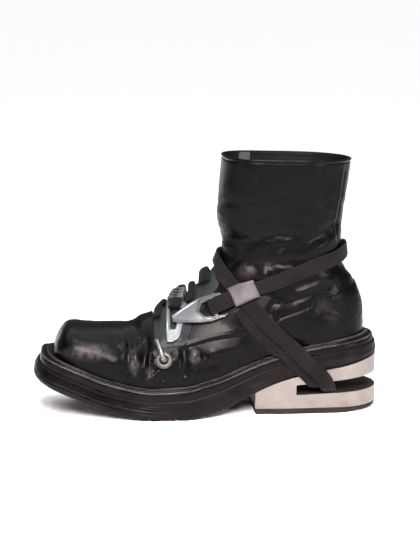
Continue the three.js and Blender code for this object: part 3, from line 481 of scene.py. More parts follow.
def blended(tree, factor, a, b):
    made = node(tree, "ShaderNodeMix", data_type="RGBA")
    for index, value in ((0, factor), (6, a), (7, b)):
        socket = made.inputs[index]
        if isinstance(value, bpy.types.NodeSocket):
            tree.links.new(value, socket)
        else:
            socket.default_value = (*value, 1) if hasattr(value, "__len__") else value
    return made.outputs[2]


def worked(tree, operation, *values):
    """One step of reckoning with factors, such as MULTIPLY or COSINE."""
    return node(tree, "ShaderNodeMath", dict(enumerate(values)), operation=operation).outputs[0]


def ranged(tree, value, low, high, **settings):
    """Factor that goes from 0 at low to 1 at high."""
    inputs = {"Value": value, "From Min": low, "From Max": high}
    return node(tree, "ShaderNodeMapRange", inputs, **settings).outputs[0]


def summed(tree, parts):
    """Weighted sum of factors, for a bump."""
    total = None
    for value, weight in parts:
        scaled = worked(tree, "MULTIPLY", value, weight)
        total = scaled if total is None else worked(tree, "ADD", total, scaled)
    return total


def bumped(tree, shader, height, distance, strength):
    made = node(tree, "ShaderNodeBump", {"Height": height, "Distance": distance, "Strength": strength})
    tree.links.new(made.outputs["Normal"], shader.inputs["Normal"])


def coordinate(tree, axis):
    place = node(tree, "ShaderNodeTexCoord").outputs["Object"]
    return node(tree, "ShaderNodeSeparateXYZ", {0: place}).outputs[axis]


# Painted sheen on the outer side: lighter spots that stand for highlights on the toe, the creases, the
# quarter, the shaft and the counter's dent. Shares as in the folds, half sizes in mm, amount.
PAINTED_SHEEN = table(
    "along up half_length half_height amount",
    (0.2835, 0.125, 6, 14, 1.0),
    (0.3275, 0.085, 5, 9, 0.75),
    (0.4575, 0.15, 7, 9, 0.95),
    (0.16, 0.118, 25, 10, 0.8),
    (0.61, 0.44, 11, 11, 0.3),
    (0.665, 0.45, 10, 4, 0.25),
    (0.832, 0.19, 11, 9, 0.22),
)
# Lighter grey of the painted sheen spots, standing for highlights.
PAINTED_SHEEN_TONE = (0.075, 0.066, 0.068)
PAINTED_SHEEN_FROM = -0.01
PAINTED_SHEEN_FULL = -0.02
COOL_X = -0.06
WARM_X = 0.08
RUST_TOP = 0.0145
RUST_FULL = 0.005
WEAVE_PITCH = 0.0012


def painted_sheen_spots(tree):
    """Painted sheen: sum of soft spots in the side plane, outer side only, broken up by streaks."""
    place = node(tree, "ShaderNodeTexCoord").outputs["Object"]
    x = x_at(PAINTED_SHEEN["along"])
    z = rim_at(x) + PAINTED_SHEEN["up"] * UPPER_HEIGHT
    spots = []
    for i, amount in enumerate(PAINTED_SHEEN["amount"]):
        reach_x = PAINTED_SHEEN["half_length"][i] * MM
        reach_z = PAINTED_SHEEN["half_height"][i] * MM
        inputs = {
            "Vector": place,
            "Location": (-x[i] * MM / reach_x, 0, -z[i] * MM / reach_z),
            "Scale": (1 / reach_x, 0, 1 / reach_z),
        }
        moved = node(tree, "ShaderNodeMapping", inputs).outputs[0]
        away = node(tree, "ShaderNodeVectorMath", {0: moved}, operation="LENGTH").outputs["Value"]
        spots.append((ranged(tree, away, 1, 0, interpolation_type="SMOOTHSTEP"), float(amount)))
    outer = ranged(tree, coordinate(tree, "Y"), PAINTED_SHEEN_FROM, PAINTED_SHEEN_FULL)
    streaks = ramp(tree, texture(tree, 210, (1, 1, 0.7), detail=5, rough=0.65), [(0.38, 0.1), (0.62, 1.0)])
    return worked(tree, "MULTIPLY", worked(tree, "MULTIPLY", summed(tree, spots), outer), streaks)


def leather_material(name, base, warm, rough, coat, worn=False):
    """Polished leather: cool black to the toe and warm to the heel, with pores, fine creases and scuffs."""
    made, tree, shader = material(name)
    link = tree.links.new
    tone = blended(tree, ranged(tree, coordinate(tree, "X"), COOL_X, WARM_X), base, warm)
    cloud = texture(tree, 28, detail=4)
    tone = blended(tree, ramp(tree, cloud, [(0.35, 0.0), (0.75, 0.55)]), tone, [v * 1.4 for v in warm])
    scuff = texture(tree, 160, (1, 1, 0.35), detail=6, rough=0.7)
    tone = blended(tree, ramp(tree, scuff, [(0.62, 0.0), (0.78, 0.28)]), tone, (0.004, 0.0036, 0.0035))
    # Painted sheen: lighter spots standing for highlights on the outer side.
    if worn:
        tone = blended(tree, painted_sheen_spots(tree), tone, PAINTED_SHEEN_TONE)
    link(tone, shader.inputs["Base Color"])
    fine = texture(tree, 650, detail=5, rough=0.6)
    pores = cells(tree, 900)
    creases = texture(tree, 120, (1, 1, 2.6), detail=6, rough=0.62)
    wear = texture(tree, 45, detail=5)
    dullness = summed(tree, [(wear, 0.7), (scuff, 0.3)])
    link(ramp(tree, dullness, [(0.3, rough * 0.72), (0.68, rough * 1.5)]), shader.inputs["Roughness"])
    shader.inputs["Specular IOR Level"].default_value = 0.095
    shader.inputs["Coat Weight"].default_value = coat
    shader.inputs["Coat Roughness"].default_value = 0.22
    height = summed(tree, [(fine, 0.35), (pores, 0.5), (creases, 1.5), (wear, 0.8)])
    bumped(tree, shader, height, 0.00013, 0.8)
    return made


def rubber_material(name, base, dust, rough):
    """Worn rubber with dust in patches, pits and short scratches."""
    made, tree, shader = material(name)
    link = tree.links.new
    patches = texture(tree, 38, (1, 1, 2), detail=6, rough=0.65)
    streaks = texture(tree, 260, (0.25, 1, 3), detail=4)
    tone = blended(tree, ramp(tree, patches, [(0.4, 0.0), (0.72, 0.75)]), base, dust)
    tone = blended(tree, ramp(tree, streaks, [(0.55, 0.0), (0.75, 0.5)]), tone, [v * 1.5 for v in dust])
    link(tone, shader.inputs["Base Color"])
    link(ramp(tree, patches, [(0.3, rough * 0.8), (0.7, min(rough * 1.25, 1))]), shader.inputs["Roughness"])
    shader.inputs["Specular IOR Level"].default_value = 0.09
    pits = texture(tree, 900, detail=3)
    bumped(tree, shader, summed(tree, [(patches, 1.0), (streaks, 0.7), (pits, 0.4)]), 0.0003, 0.6)
    return made


def metal_material(name, base, rough, direction, dents, stain=0.0, metallic=0.85):
    """Metal with fine brushing, soft dents and dull patches."""
    made, tree, shader = material(name)
    link = tree.links.new
    shader.inputs["Metallic"].default_value = metallic
    shader.inputs["Specular IOR Level"].default_value = 0.3
    dull = texture(tree, 55, detail=5)
    brushing = texture(tree, 420, direction, detail=4)
    tone = blended(tree, ramp(tree, dull, [(0.35, 0.0), (0.7, 0.6)]), base, [v * 0.78 for v in base])
    if stain:
        rust = texture(tree, 90, (1, 1, 1.6), detail=7, rough=0.7)
        low = ranged(tree, coordinate(tree, "Z"), RUST_TOP, RUST_FULL)
        amount = worked(tree, "MULTIPLY", ramp(tree, rust, [(0.5, 0.0), (0.66, stain)]), low)
        tone = blended(tree, amount, tone, (0.2, 0.12, 0.06))
    link(tone, shader.inputs["Base Color"])
    mixed = summed(tree, [(dull, 0.6), (brushing, 0.4)])
    link(ramp(tree, mixed, [(0.35, rough * 0.75), (0.65, rough * 1.35)]), shader.inputs["Roughness"])
    bumped(tree, shader, summed(tree, [(dull, dents), (brushing, 0.05)]), 0.0006, 0.5)
    return made


def webbing_material(name, base, light, ribs, width):
    """Elastic webbing: ribs along its length, short weave across it, and a lighter tone along the rib crests,
    stronger in some patches.
    """
    made, tree, shader = material(name)
    link = tree.links.new
    uv = node(tree, "ShaderNodeUVMap").outputs[0]
    parts = node(tree, "ShaderNodeSeparateXYZ", {0: uv})
    rib = worked(tree, "COSINE", worked(tree, "MULTIPLY", parts.outputs["Y"], 2 * math.pi * ribs / width))
    weave = worked(tree, "SINE", worked(tree, "MULTIPLY", parts.outputs["X"], 2 * math.pi / WEAVE_PITCH))
    fluff = texture(tree, 900, detail=4)
    worn = texture(tree, 60, detail=5)
    shade = worked(tree, "MULTIPLY", ranged(tree, rib, -0.1, 1), ramp(tree, worn, [(0.3, 0.2), (0.7, 1.0)]))
    link(blended(tree, shade, base, light), shader.inputs["Base Color"])
    shader.inputs["Roughness"].default_value = 0.78
    shader.inputs["Specular IOR Level"].default_value = 0.12
    shader.inputs["Sheen Weight"].default_value = 0.03
    bumped(tree, shader, summed(tree, [(rib, 0.5), (weave, 0.16), (fluff, 0.3)]), 0.0004, 0.9)
    return made


# The outer leather carries the painted sheen spots.
leather = leather_material(
    "polished_leather", (0.0005, 0.0008, 0.00085), (0.0011, 0.0007, 0.0008), 0.27, 0.0, worn=True
)
tongue_leather = leather_material("tongue_leather", (0.0115, 0.016, 0.016), (0.015, 0.019, 0.019), 0.38, 0.03)
tab_tone = (0.05, 0.049, 0.047)
lining = leather_material("lining_leather", (0.0042, 0.004, 0.0038), (0.0046, 0.0041, 0.0038), 0.6, 0.0)
tab_leather = leather_material("tab_leather", tab_tone, tab_tone, 0.55, 0.0)
board = rubber_material("insole_board", (0.05, 0.043, 0.036), (0.09, 0.075, 0.06), 0.85)
welt_rubber = rubber_material("welt_rubber", (0.002, 0.0016, 0.0018), (0.007, 0.0056, 0.006), 0.34)
# Lighter rubber for the welt's bead and rim edges: a painted highlight.
welt_highlight_rubber = rubber_material("welt_painted_highlight", (0.01, 0.009, 0.0093), (0.07, 0.063, 0.064), 0.34)
mid_rubber = rubber_material("midsole_rubber", (0.0015, 0.001, 0.0012), (0.008, 0.0057, 0.0065), 0.42)
sole_rubber = rubber_material("outsole_rubber", (0.003, 0.0021, 0.0024), (0.0135, 0.01, 0.0112), 0.46)
lift_rubber = rubber_material("lift_rubber", (0.012, 0.0095, 0.009), (0.032, 0.026, 0.024), 0.8)
heel_metal = metal_material("heel_metal", (0.255, 0.232, 0.22), 0.38, (0.2, 1, 3), 0.12, stain=0.9)
# Darker metal for the faces inside the heel's slot: painted shade in the recess.
slot_painted_shade = metal_material("slot_painted_shade", (0.06, 0.051, 0.046), 0.55, (1, 1, 1), 0.3)
hook_metal = metal_material("hook_metal", (0.125, 0.13, 0.138), 0.32, (0.4, 1, 2), 0.35)
link_metal = metal_material("link_metal", (0.17, 0.178, 0.184), 0.38, (1, 1, 0.4), 0.25)
eyelet_metal = metal_material("eyelet_metal", (0.11, 0.103, 0.092), 0.5, (1, 1, 1), 0.4)
clamp_metal = metal_material("clamp_metal", (0.06, 0.055, 0.058), 0.5, (1, 1, 1), 0.7, metallic=0.35)
webbing = webbing_material(
    "strap_webbing", (0.0008, 0.0006, 0.0007), (0.019, 0.015, 0.0165), 7, STRAP_WIDTH * MM
)
band_webbing = webbing_material(
    "band_webbing", (0.0015, 0.0015, 0.0016), (0.0065, 0.0065, 0.0068), 6, BAND_WIDTH * MM
)


# Meshes
def put(name, data):
    """New object in the scene."""
    made = bpy.data.objects.new(name, data)
    bpy.context.scene.collection.objects.link(made)
    return made


def add_mesh(name, points, faces, material_list, replaced, slot_name, sharp, uv=None):
    """Adds a mesh given in millimetres that stands for CAD nodes and rides on the boot."""
    mesh = bpy.data.meshes.new(name)
    mesh.from_pydata((np.asarray(points, float) * MM).tolist(), [], [list(map(int, face)) for face in faces])
    mesh.validate()
    for entry in material_list:
        mesh.materials.append(entry)
    if uv is not None:
        layer = mesh.uv_layers.new(name="UVMap")
        index = np.zeros(len(mesh.loops), int)
        mesh.loops.foreach_get("vertex_index", index)
        layer.data.foreach_set("uv", (np.asarray(uv, float)[index] * MM).ravel())
    mesh.polygons.foreach_set("use_smooth", [True] * len(mesh.polygons))
    mesh.set_sharp_from_angle(angle=math.radians(sharp))
    made = put(name, mesh)
    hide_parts(*replaced)
    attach(made, "root")
    return made


def grid_faces(rows, columns, closed=False):
    """Quads of a grid of points, row after row."""
    faces = []
    last = columns if closed else columns - 1
    for i in range(rows - 1):
        for j in range(last):
            k = (j + 1) % columns
            faces.append((i * columns + j, (i + 1) * columns + j, (i + 1) * columns + k, i * columns + k))
    return faces


def drawn_noise(points, scale, stretch=(1, 1, 1), seed=0.0):
    """Smooth noise from -1 to 1 at points in millimetres, with features about scale millimetres long."""
    scaled = np.asarray(points, float) * np.asarray(stretch) / scale + seed
    return np.array([noise.noise(Vector(p)) for p in scaled])


# Folds and seams of the leather, as lines on the side: shares along the boot and up over the welt's rim.
# Height in mm (a trough is below 0), half width in mm, side, and the line.
FOLDS = [
    # Flex creases behind the toe
    (-2.3, 3.2, "both", [(0.269, 0.26), (0.2744, 0.211), (0.2723, 0.158), (0.2685, 0.107), (0.26, 0.045)]),
    (2.2, 3.4, "both", [(0.284, 0.19), (0.2864, 0.153), (0.287, 0.12), (0.2853, 0.086), (0.279, 0.045)]),
    (-0.8, 3.0, "both", [(0.252, 0.2), (0.252, 0.15), (0.251, 0.1), (0.246, 0.06)]),
    (-1.1, 1.3, "outer", [(0.31, 0.235), (0.296, 0.2), (0.284, 0.168)]),
    (-0.9, 1.2, "outer", [(0.277, 0.15), (0.283, 0.12), (0.281, 0.085)]),
    (-1.7, 3.2, "both", [(0.325, 0.27), (0.3201, 0.188), (0.3129, 0.127), (0.3064, 0.05)]),
    # Puckers round the eyelet
    (2.6, 2.0, "outer", [(0.336, 0.185), (0.3305, 0.165), (0.327, 0.12), (0.3247, 0.055)]),
    (2.2, 1.7, "outer", [(0.3247, 0.058), (0.334, 0.073), (0.343, 0.087), (0.3519, 0.1)]),
    (-1.6, 2.3, "outer", [(0.3315, 0.087), (0.338, 0.103), (0.346, 0.12)]),
    (-0.7, 2.0, "outer", [(0.335, 0.158), (0.342, 0.152), (0.35, 0.148)]),
    (-0.6, 1.8, "outer", [(0.389, 0.163), (0.397, 0.173), (0.404, 0.183)]),
    (-0.6, 2.0, "outer", [(0.387, 0.12), (0.397, 0.107), (0.404, 0.088)]),
    (0.5, 2.2, "outer", [(0.39, 0.143), (0.402, 0.148), (0.414, 0.146)]),
    (-1.0, 2.5, "outer", [(0.36, 0.09), (0.365, 0.07), (0.368, 0.05)]),
    # Squared edge of the toe's top
    (2.4, 10.0, "both", [(0.085, 0.06), (0.12, 0.1), (0.177, 0.112), (0.218, 0.1), (0.245, 0.07)]),
    (-1.5, 6.5, "both", [(0.12, 0.19), (0.17, 0.203), (0.225, 0.2), (0.26, 0.205)]),
    # Bump of the quarter behind the eyelet
    (-2.4, 2.8, "outer", [(0.4285, 0.205), (0.4273, 0.18), (0.4288, 0.12), (0.4253, 0.05)]),
    (2.4, 4.2, "outer", [(0.447, 0.175), (0.461, 0.145), (0.472, 0.105)]),
    (-1.3, 4.0, "outer", [(0.452, 0.12), (0.485, 0.085), (0.53, 0.085)]),
    (0.9, 4.0, "outer", [(0.5, 0.14), (0.55, 0.13), (0.6, 0.115)]),
    # Folds behind the ankle and over the counter
    (-1.6, 2.0, "both", [(0.7, 0.266), (0.6803, 0.251), (0.6741, 0.214), (0.6798, 0.198)]),
    (1.8, 2.2, "outer", [(0.7317, 0.274), (0.7747, 0.281), (0.83, 0.297), (0.8653, 0.3115)]),
    (-1.6, 3.0, "outer", [(0.7217, 0.245), (0.7747, 0.254), (0.8653, 0.282)]),
    (1.4, 6.0, "both", [(0.95, 0.29), (0.93, 0.32), (0.92, 0.33)]),
    (-2.2, 9.0, "outer", [(0.8, 0.21), (0.83, 0.19), (0.86, 0.17)]),
    (-1.4, 5.0, "both", [(0.88, 0.375), (0.9, 0.37), (0.94, 0.37)]),
    # Sag of the shaft over the ankle
    (-1.7, 6.0, "both", [(0.53, 0.66), (0.58, 0.6), (0.64, 0.575), (0.7, 0.57), (0.76, 0.53)]),
    (2.6, 7.5, "outer", [(0.585, 0.5), (0.61, 0.44), (0.64, 0.41), (0.68, 0.41)]),
    (-1.3, 4.0, "outer", [(0.6, 0.47), (0.65, 0.44), (0.7, 0.435), (0.76, 0.43)]),
    (1.3, 4.0, "outer", [(0.74, 0.44), (0.8, 0.46), (0.87, 0.49)]),
    (-1.3, 5.0, "both", [(0.78, 0.5), (0.84, 0.53), (0.89, 0.56)]),
    (1.0, 7.0, "outer", [(0.62, 0.95), (0.64, 0.8), (0.63, 0.66)]),
    (-1.0, 9.0, "outer", [(0.74, 0.95), (0.75, 0.8), (0.74, 0.64)]),
    # Back seam of the shaft
    (-1.1, 1.0, "outer", [(0.886, 0.43), (0.8725, 0.5), (0.877, 0.6), (0.888, 0.7), (0.897, 0.83)]),
    (0.7, 1.6, "outer", [(0.876, 0.43), (0.8625, 0.5), (0.867, 0.6), (0.878, 0.7), (0.887, 0.83)]),
]

# Edges of the panels: the leather below or in front of the line lies lower, along a row of stitches.
SEAMS = [
    (1.3, [(0.428, 0.196), (0.4651, 0.2007), (0.5168, 0.2002), (0.574, 0.1825), (0.6167, 0.1628)]),
    (0.7, [(0.6224, 0.1637), (0.6401, 0.0827), (0.655, 0.02)]),
]
SEAM_REACH = 7
SEAM_EDGE = 0.5
SEAM_LEAN = 0.35
COLLAR_BEAD = 0.55
COLLAR_GROOVE = 0.5
SECTION_RISE = 30


def relief(points, side, s):
    """Height of folds and seams over the smooth skin, in millimetres."""
    flat = points[:, (0, 2)]
    total = np.zeros(len(points))
    for height, width, where, rows in FOLDS:
        distance, _, along = to_line(flat, rounded(side_points(rows), 4))
        amount = height * bell(distance, width) * (0.15 + 0.85 * between(along, 0, 0.18, 0.82, 1))
        total += np.where(side < 0, amount, 0) if where == "outer" else amount
    for height, rows in SEAMS:
        distance, nearest, along = to_line(flat, rounded(side_points(rows), 4))
        over = np.sign((flat - nearest)[:, 1] + (flat - nearest)[:, 0] * SEAM_LEAN)
        near = bell(distance, SEAM_REACH) * between(along, 0, 0.03, 0.97, 1)
        total += height * 0.5 * near * np.tanh(over * distance / SEAM_EDGE)
        total -= 0.35 * bell(distance - 2.2, 0.45) * near
    below_collar = (COLLAR_SECTION - s) * SECTION_RISE
    total += COLLAR_BEAD * bell(below_collar - 0.9, 0.7) - COLLAR_GROOVE * bell(below_collar - 2.6, 0.6)
    creased = between(points[:, 0], -88, -76, -58, -46) * (1 - smooth(s, 10, 11.5))
    ankle = between(s, 13.5, 15, 18.6, 19.6)
    shaft = smooth(s, 15, 17)
    for amount, where, scale, stretch, seed in (
        (0.3, creased, 10, (1.5, 0.6, 0.6), 3),
        (0.06, creased, 4, (1.5, 1, 1), 9),
        (0.7, ankle, 13, (0.7, 0.7, 1.9), 5),
        (0.3, ankle, 4, (0.8, 0.8, 1.9), 7),
        (1.3, shaft, 38, (1, 1, 0.8), 2),
        (0.35, 1, 19, (1, 1, 1), 11),
    ):
        total += amount * where * drawn_noise(points, scale, stretch, seed)
    return total


def section_steps(low, high, spacing):
    """Section values from low to high whose rows lie about spacing apart on the skin."""
    fine = np.linspace(low, high, 400)
    run = np.zeros(len(fine))
    for turn in (0.0, 0.35, 0.65, 1.0):
        run = np.maximum(run, run_along(skin_point(fine, turn)))
    run = np.maximum.accumulate(run)
    count = int(run[-1] / spacing)
    return np.interp(np.linspace(0, run[-1], count + 1), run, fine)


def eased(points, rows, steps):
    """Evens out the bend where the foot's sections pass into the shaft's, round the heel."""
    grid = points.reshape(rows, -1, 3)
    weight = between(steps, 12.2, 13.6, 14.6, 16.5)
    weight = np.repeat(weight[:, None], grid.shape[1], axis=1)
    weight[steps <= HEEL_SECTION, 0] = 0
    weight[steps <= HEEL_SECTION, -1] = 0
    for _ in range(30):
        even = grid.copy()
        even[1:-1] = (grid[:-2] + 2 * grid[1:-1] + grid[2:]) / 4
        grid = grid + (even - grid) * weight[:, :, None]
    return grid.reshape(-1, 3)


TRIM_REACH = 4
TRIM_TURNS = 0.46


def skin_sheet(name, replaced, steps, turns, keep, outline, lift, thickness, height, look, slot_name, whole):
    """Walled sheet on the skin, trimmed to an outline seen from the side. A whole one runs round the heel."""
    s, turn = np.meshgrid(steps, turns, indexing="ij")
    s = s.ravel()
    turn = turn.ravel()
    columns = len(turns)
    points = skin_point(s, turn)
    if whole:
        points = eased(points, len(steps), steps)
    faces = np.array(grid_faces(len(steps), columns))
    within = inside(points[faces].mean(1)[:, (0, 2)], outline)
    faces = faces[within if keep == "inside" else ~within]
    edges = np.sort(np.concatenate([faces[:, (k, (k + 1) % 4)] for k in range(4)]), axis=1)
    unique, counts = np.unique(edges, axis=0, return_counts=True)
    border = np.unique(unique[counts == 1])
    row, column = border // columns, border % columns
    cut = border[(row > 0) & (row < len(steps) - 1) & (column > 0) & (column < columns - 1)]
    distance, nearest, _ = to_line(points[cut][:, (0, 2)], outline, closed=True)
    reach = distance < TRIM_REACH
    cut, nearest = cut[reach], nearest[reach]
    around, side = side_of(turn[cut])
    new_s, new_turn = skin_at(nearest[:, 0], nearest[:, 1], side)
    off_centre = np.abs(np.abs(around) - 0.5) < TRIM_TURNS
    s[cut] = np.where(off_centre, new_s, s[cut])
    turn[cut] = np.where(off_centre, new_turn + 2 * np.round((turn[cut] - new_turn) / 2), turn[cut])
    if whole:
        points[cut[off_centre], ::2] = nearest[off_centre]
    else:
        points = skin_point(s, turn)
    _, side = side_of(turn)
    out = lift + height(points, side, s)
    placed = points + skin_normal(s, turn) * out[:, None]
    placed[s >= COLLAR_SECTION, 2] = points[s >= COLLAR_SECTION, 2]
    inner = points + skin_normal(s, turn) * (lift - thickness + 0.8 * np.minimum(out - lift, 0))[:, None]
    inner[s >= COLLAR_SECTION, 2] = points[s >= COLLAR_SECTION, 2]
    used = np.unique(faces)
    renumber = np.full(len(points), -1)
    renumber[used] = np.arange(len(used))
    placed = placed[used]
    inner = inner[used]
    faces = renumber[faces]
    if whole:
        match = {}
        merged = np.arange(len(placed))
        for i, p in enumerate(np.round(points[used], 2)):
            merged[i] = match.setdefault(tuple(p), i)
        faces = merged[faces]
    faces = [tuple(dict.fromkeys(face[::-1].tolist())) for face in faces]
    faces = [face for face in faces if len(face) > 2]
    return walled(name, placed, inner, faces, look, replaced, slot_name)


def walled(name, outer, inner, faces, look, replaced, slot_name):
    """Closed wall between an outer sheet and an inner one with the same faces."""
    count = len(outer)
    directed = set()
    for face in faces:
        for k in range(len(face)):
            directed.add((face[k], face[(k + 1) % len(face)]))
    rim = [(b, a, a + count, b + count) for a, b in directed if (b, a) not in directed]
    both = faces + [tuple(k + count for k in face[::-1]) for face in faces] + rim
    made = add_mesh(name, np.concatenate([outer, inner]), both, look, replaced, slot_name, 60)
    if len(look) > 1:
        index = np.zeros(len(made.data.polygons), np.int32)
        index[len(faces) : 2 * len(faces)] = 1
        if len(made.data.polygons) == len(both):
            made.data.polygons.foreach_set("material_index", index)
    return made


CELL = 1.9
SHEET_EASE = 0.1
COLLAR_ROWS = np.array((3.2, 2.6, 2.0, 1.4, 0.9, 0.4))
turns = np.linspace(-1, 1, 201)
even_steps = section_steps(0.12, COLLAR_SECTION, CELL)
collar_steps = COLLAR_SECTION - COLLAR_ROWS / SECTION_RISE
upper_steps = np.unique(np.concatenate([[0.0, 0.04], even_steps, collar_steps]))
skin_sheet(
    "upper_leather", ["upper"], upper_steps, turns, "outside", THROAT, 0, WALL - SHEET_EASE, relief,
    [leather, lining], "leather", True
)

TONGUE_MARGIN = 9


def tongue_height(points, side, s):
    """The tongue swells up into the throat, with a soft fold on each side."""
    distance, _, _ = to_line(points[:, (0, 2)], THROAT, closed=True)
    open_part = inside(points[:, (0, 2)], THROAT)
    swell = np.where(open_part, smooth(distance, 0.5, 7) * 1.7, 0)
    return swell + 0.3 * open_part * drawn_noise(points, 9, (1, 0.6, 1), 21)


skin_sheet(
    "tongue_leather", ["tongue"], section_steps(8.4, 16.4, CELL), np.linspace(-0.62, 0.62, 91), "inside",
    widened(THROAT, TONGUE_MARGIN), -WALL - GAP, TONGUE, tongue_height, [tongue_leather], "leather", False
)

DENT_X = x_at(0.83)
DENT_HEIGHT = 96


def counter_height(points, side, s):
    """The counter's edge is turned under, with a groove of stitches beside it; its outer side is dented."""
    distance, _, _ = to_line(points[:, (0, 2)], COUNTER_EDGE, closed=True)
    edge = -0.9 * bell(distance, 0.9) - 0.3 * bell(distance - 2.6, 0.5)
    dent = -2.0 * bell(points[:, 0] - DENT_X, 15) * bell(points[:, 2] - DENT_HEIGHT, 9) * (side < 0)
    uneven = 0.4 * drawn_noise(points, 20, (1, 1, 1), 13) + 0.25 * drawn_noise(points, 6, (1, 1, 2), 17)
    return edge + dent + uneven


skin_sheet(
    "counter_leather", ["heel_counter"], upper_steps, turns, "inside", COUNTER_EDGE, GAP + COUNTER,
    COUNTER - SHEET_EASE, counter_height, [leather], "leather", True
)

TAB_WIDTH = 11
TAB_LENGTH = 25
TAB_THICKNESS = 1.2
TAB_ALONG = 0.622
TAB_UP = 0.92
TAB_DROP = 1.5
tab_x = x_at(TAB_ALONG)
_, tab_turn = skin_at(tab_x, rim_at(tab_x) + TAB_UP * UPPER_HEIGHT, 1)
tab_top = skin_point(COLLAR_SECTION, tab_turn)[2] - TAB_DROP
tab_front, tab_back = tab_x - TAB_WIDTH / 2, tab_x + TAB_WIDTH / 2
tab_bottom = tab_top - TAB_LENGTH
tab_corners = np.array(
    [(tab_front, tab_top), (tab_front, tab_bottom), (tab_back, tab_bottom), (tab_back, tab_top)]
)
tab_turns = np.linspace(float(tab_turn) - 0.12, float(tab_turn) + 0.12, 26)


def tab_height(points, side, s):
    """A row of stitches along the tab's edge."""
    distance, _, _ = to_line(points[:, (0, 2)], tab_corners, closed=True)
    return -0.25 * bell(distance - 1.2, 0.4) + 0.15 * drawn_noise(points, 5, (1, 1, 1), 31)


skin_sheet(
    "tab_leather", ["pull_tab"], np.linspace(18.6, 19.99, 40), tab_turns, "inside", tab_corners, -WALL - GAP,
    TAB_THICKNESS - SHEET_EASE, tab_height, [tab_leather], "lining", False
)


# Sole
SOLE_STATIONS = 260
STITCH = 4.6


def rib_fade(x):
    return 1 - smooth(along_at(x), 0.12, 0.42)


def slab_mesh(levels, stations=SOLE_STATIONS, ring=False):
    """Loft with the sole's plan through levels from bottom to top, closed by caps or as a ring."""
    rings = []
    for level in levels:
        start = TOE_X + level["front"]
        end = HEEL_X - level["back"]
        i = np.arange(stations + 1)
        x = mix(start, end, (1 - np.cos(np.pi * i / stations)) / 2)
        inset = level["inset"] + level.get("groove", 0) * rib_fade(x)
        if level.get("stitch"):
            run = run_along(np.stack([x, half_at(x, -1, 0, 0, 0)], -1))
            inset = inset + level["stitch"] * np.maximum(np.sin(2 * np.pi * run / STITCH), -0.2)
        outer = []
        for side in (-1, 1):
            half = half_at(x, side, inset, level["front"], level["back"])
            half[0] = half[-1] = 0
            outer.append(np.stack([x, side * half, level["height"](x)], -1))
        rings.append(np.concatenate([outer[0], outer[1][-2:0:-1]]))
    columns = len(rings[0])
    points = np.concatenate(rings)
    faces = grid_faces(len(rings), columns, closed=True)
    if ring:
        faces += grid_wrap(len(rings), columns)
    else:
        faces += cap_faces(0, stations, columns, False)
        faces += cap_faces((len(rings) - 1) * columns, stations, columns, True)
    return points, [face[::-1] for face in faces]


def cap_faces(start, stations, columns, up):
    """Quads that close a level between its two sides."""
    faces = []
    for i in range(stations):
        a, b = i, i + 1
        c, d = (columns - i - 1) % columns, (columns - i) % columns
        face = [start + a, start + b, start + c, start + d]
        face = [k for n, k in enumerate(face) if k not in face[:n]]
        faces.append(face if up else face[::-1])
    return faces


def grid_wrap(rings, columns):
    """Quads that join the last level of a ring back to its first."""
    last = (rings - 1) * columns
    return [(last + j, j, (j + 1) % columns, last + (j + 1) % columns) for j in range(columns)]


def part_way(share, base, thickness):
    """Height at a share of a layer's thickness over its base."""
    return lambda x: layer_at(x, base + thickness * share)


def layer_levels(base, thickness, *rows):
    """Levels from rows of setback in front, behind and at the sides, share of the thickness and groove."""
    levels = []
    for front, back, inset, share, groove in rows:
        height = part_way(share, base, thickness)
        levels.append({"front": front, "back": back, "inset": inset, "groove": groove, "height": height})
    return levels


outsole_levels = layer_levels(
    0,
    OUTSOLE,
    (9, 7, 6, 0, 0),
    (5, 3, 2.5, 0, 0),
    (2.6, 1.6, 1.3, 0.12, 0),
    (1, 0.6, 0.5, 0.3, 0),
    (0.2, 0.1, 0.1, 0.5, 0),
    (0, 0, 0, 0.58, 0),
    (0.1, 0.1, 0.05, 0.64, 1.1),
    (0.2, 0.1, 0.1, 0.7, 0),
    (0.4, 0.3, 0.2, 0.9, 0),
    (0.7, 0.5, 0.35, 1, 1.2),
)
outsole_points, outsole_faces = slab_mesh(outsole_levels)
TREAD_BACK = 0.484
tread = np.arange(4 * SOLE_STATIONS)
for position in range(TREAD_ROWS):
    bar = x_at(TREAD_BACK) - position * TREAD_PITCH
    near = np.abs(outsole_points[tread, 0] - bar) < TREAD_WIDTH / 2
    outsole_points[tread[near], 2] += TREAD_DEPTH
add_mesh("outsole_rubber", outsole_points, outsole_faces, [sole_rubber], ["outsole"], "sole_rubber", 32)

midsole_levels = layer_levels(
    OUTSOLE,
    MIDSOLE,
    (0.8, 0.55, 0.4, 0, 1.2),
    (0.9, 0.6, 0.4, 0.12, 0),
    (1.3, 0.7, 0.45, 0.26, 0),
    (1.5, 0.75, 0.45, 0.33, 1.3),
    (1.8, 0.8, 0.5, 0.4, 0),
    (2.2, 0.8, 0.5, 0.5, 0),
    (2.6, 0.9, 0.5, 0.57, 1.5),
    (3, 0.9, 0.5, 0.64, 0),
    (4, 1.2, 0.6, 0.88, 0),
    (5, 1.8, 1.3, 1, 0.8),
)
midsole_points, midsole_faces = slab_mesh(midsole_levels)
add_mesh("midsole_rubber", midsole_points, midsole_faces, [mid_rubber], ["midsole"], "midsole_rubber", 32)

WELT_BASE = OUTSOLE + MIDSOLE


def over_rim(height):
    return lambda x: rim_at(x) + height


def setback(extra):
    """Plan of the upper moved in by extra on all sides."""
    return {"front": TOE_SETBACK + extra, "back": HEEL_SETBACK + extra, "inset": EDGE_INSET + extra}


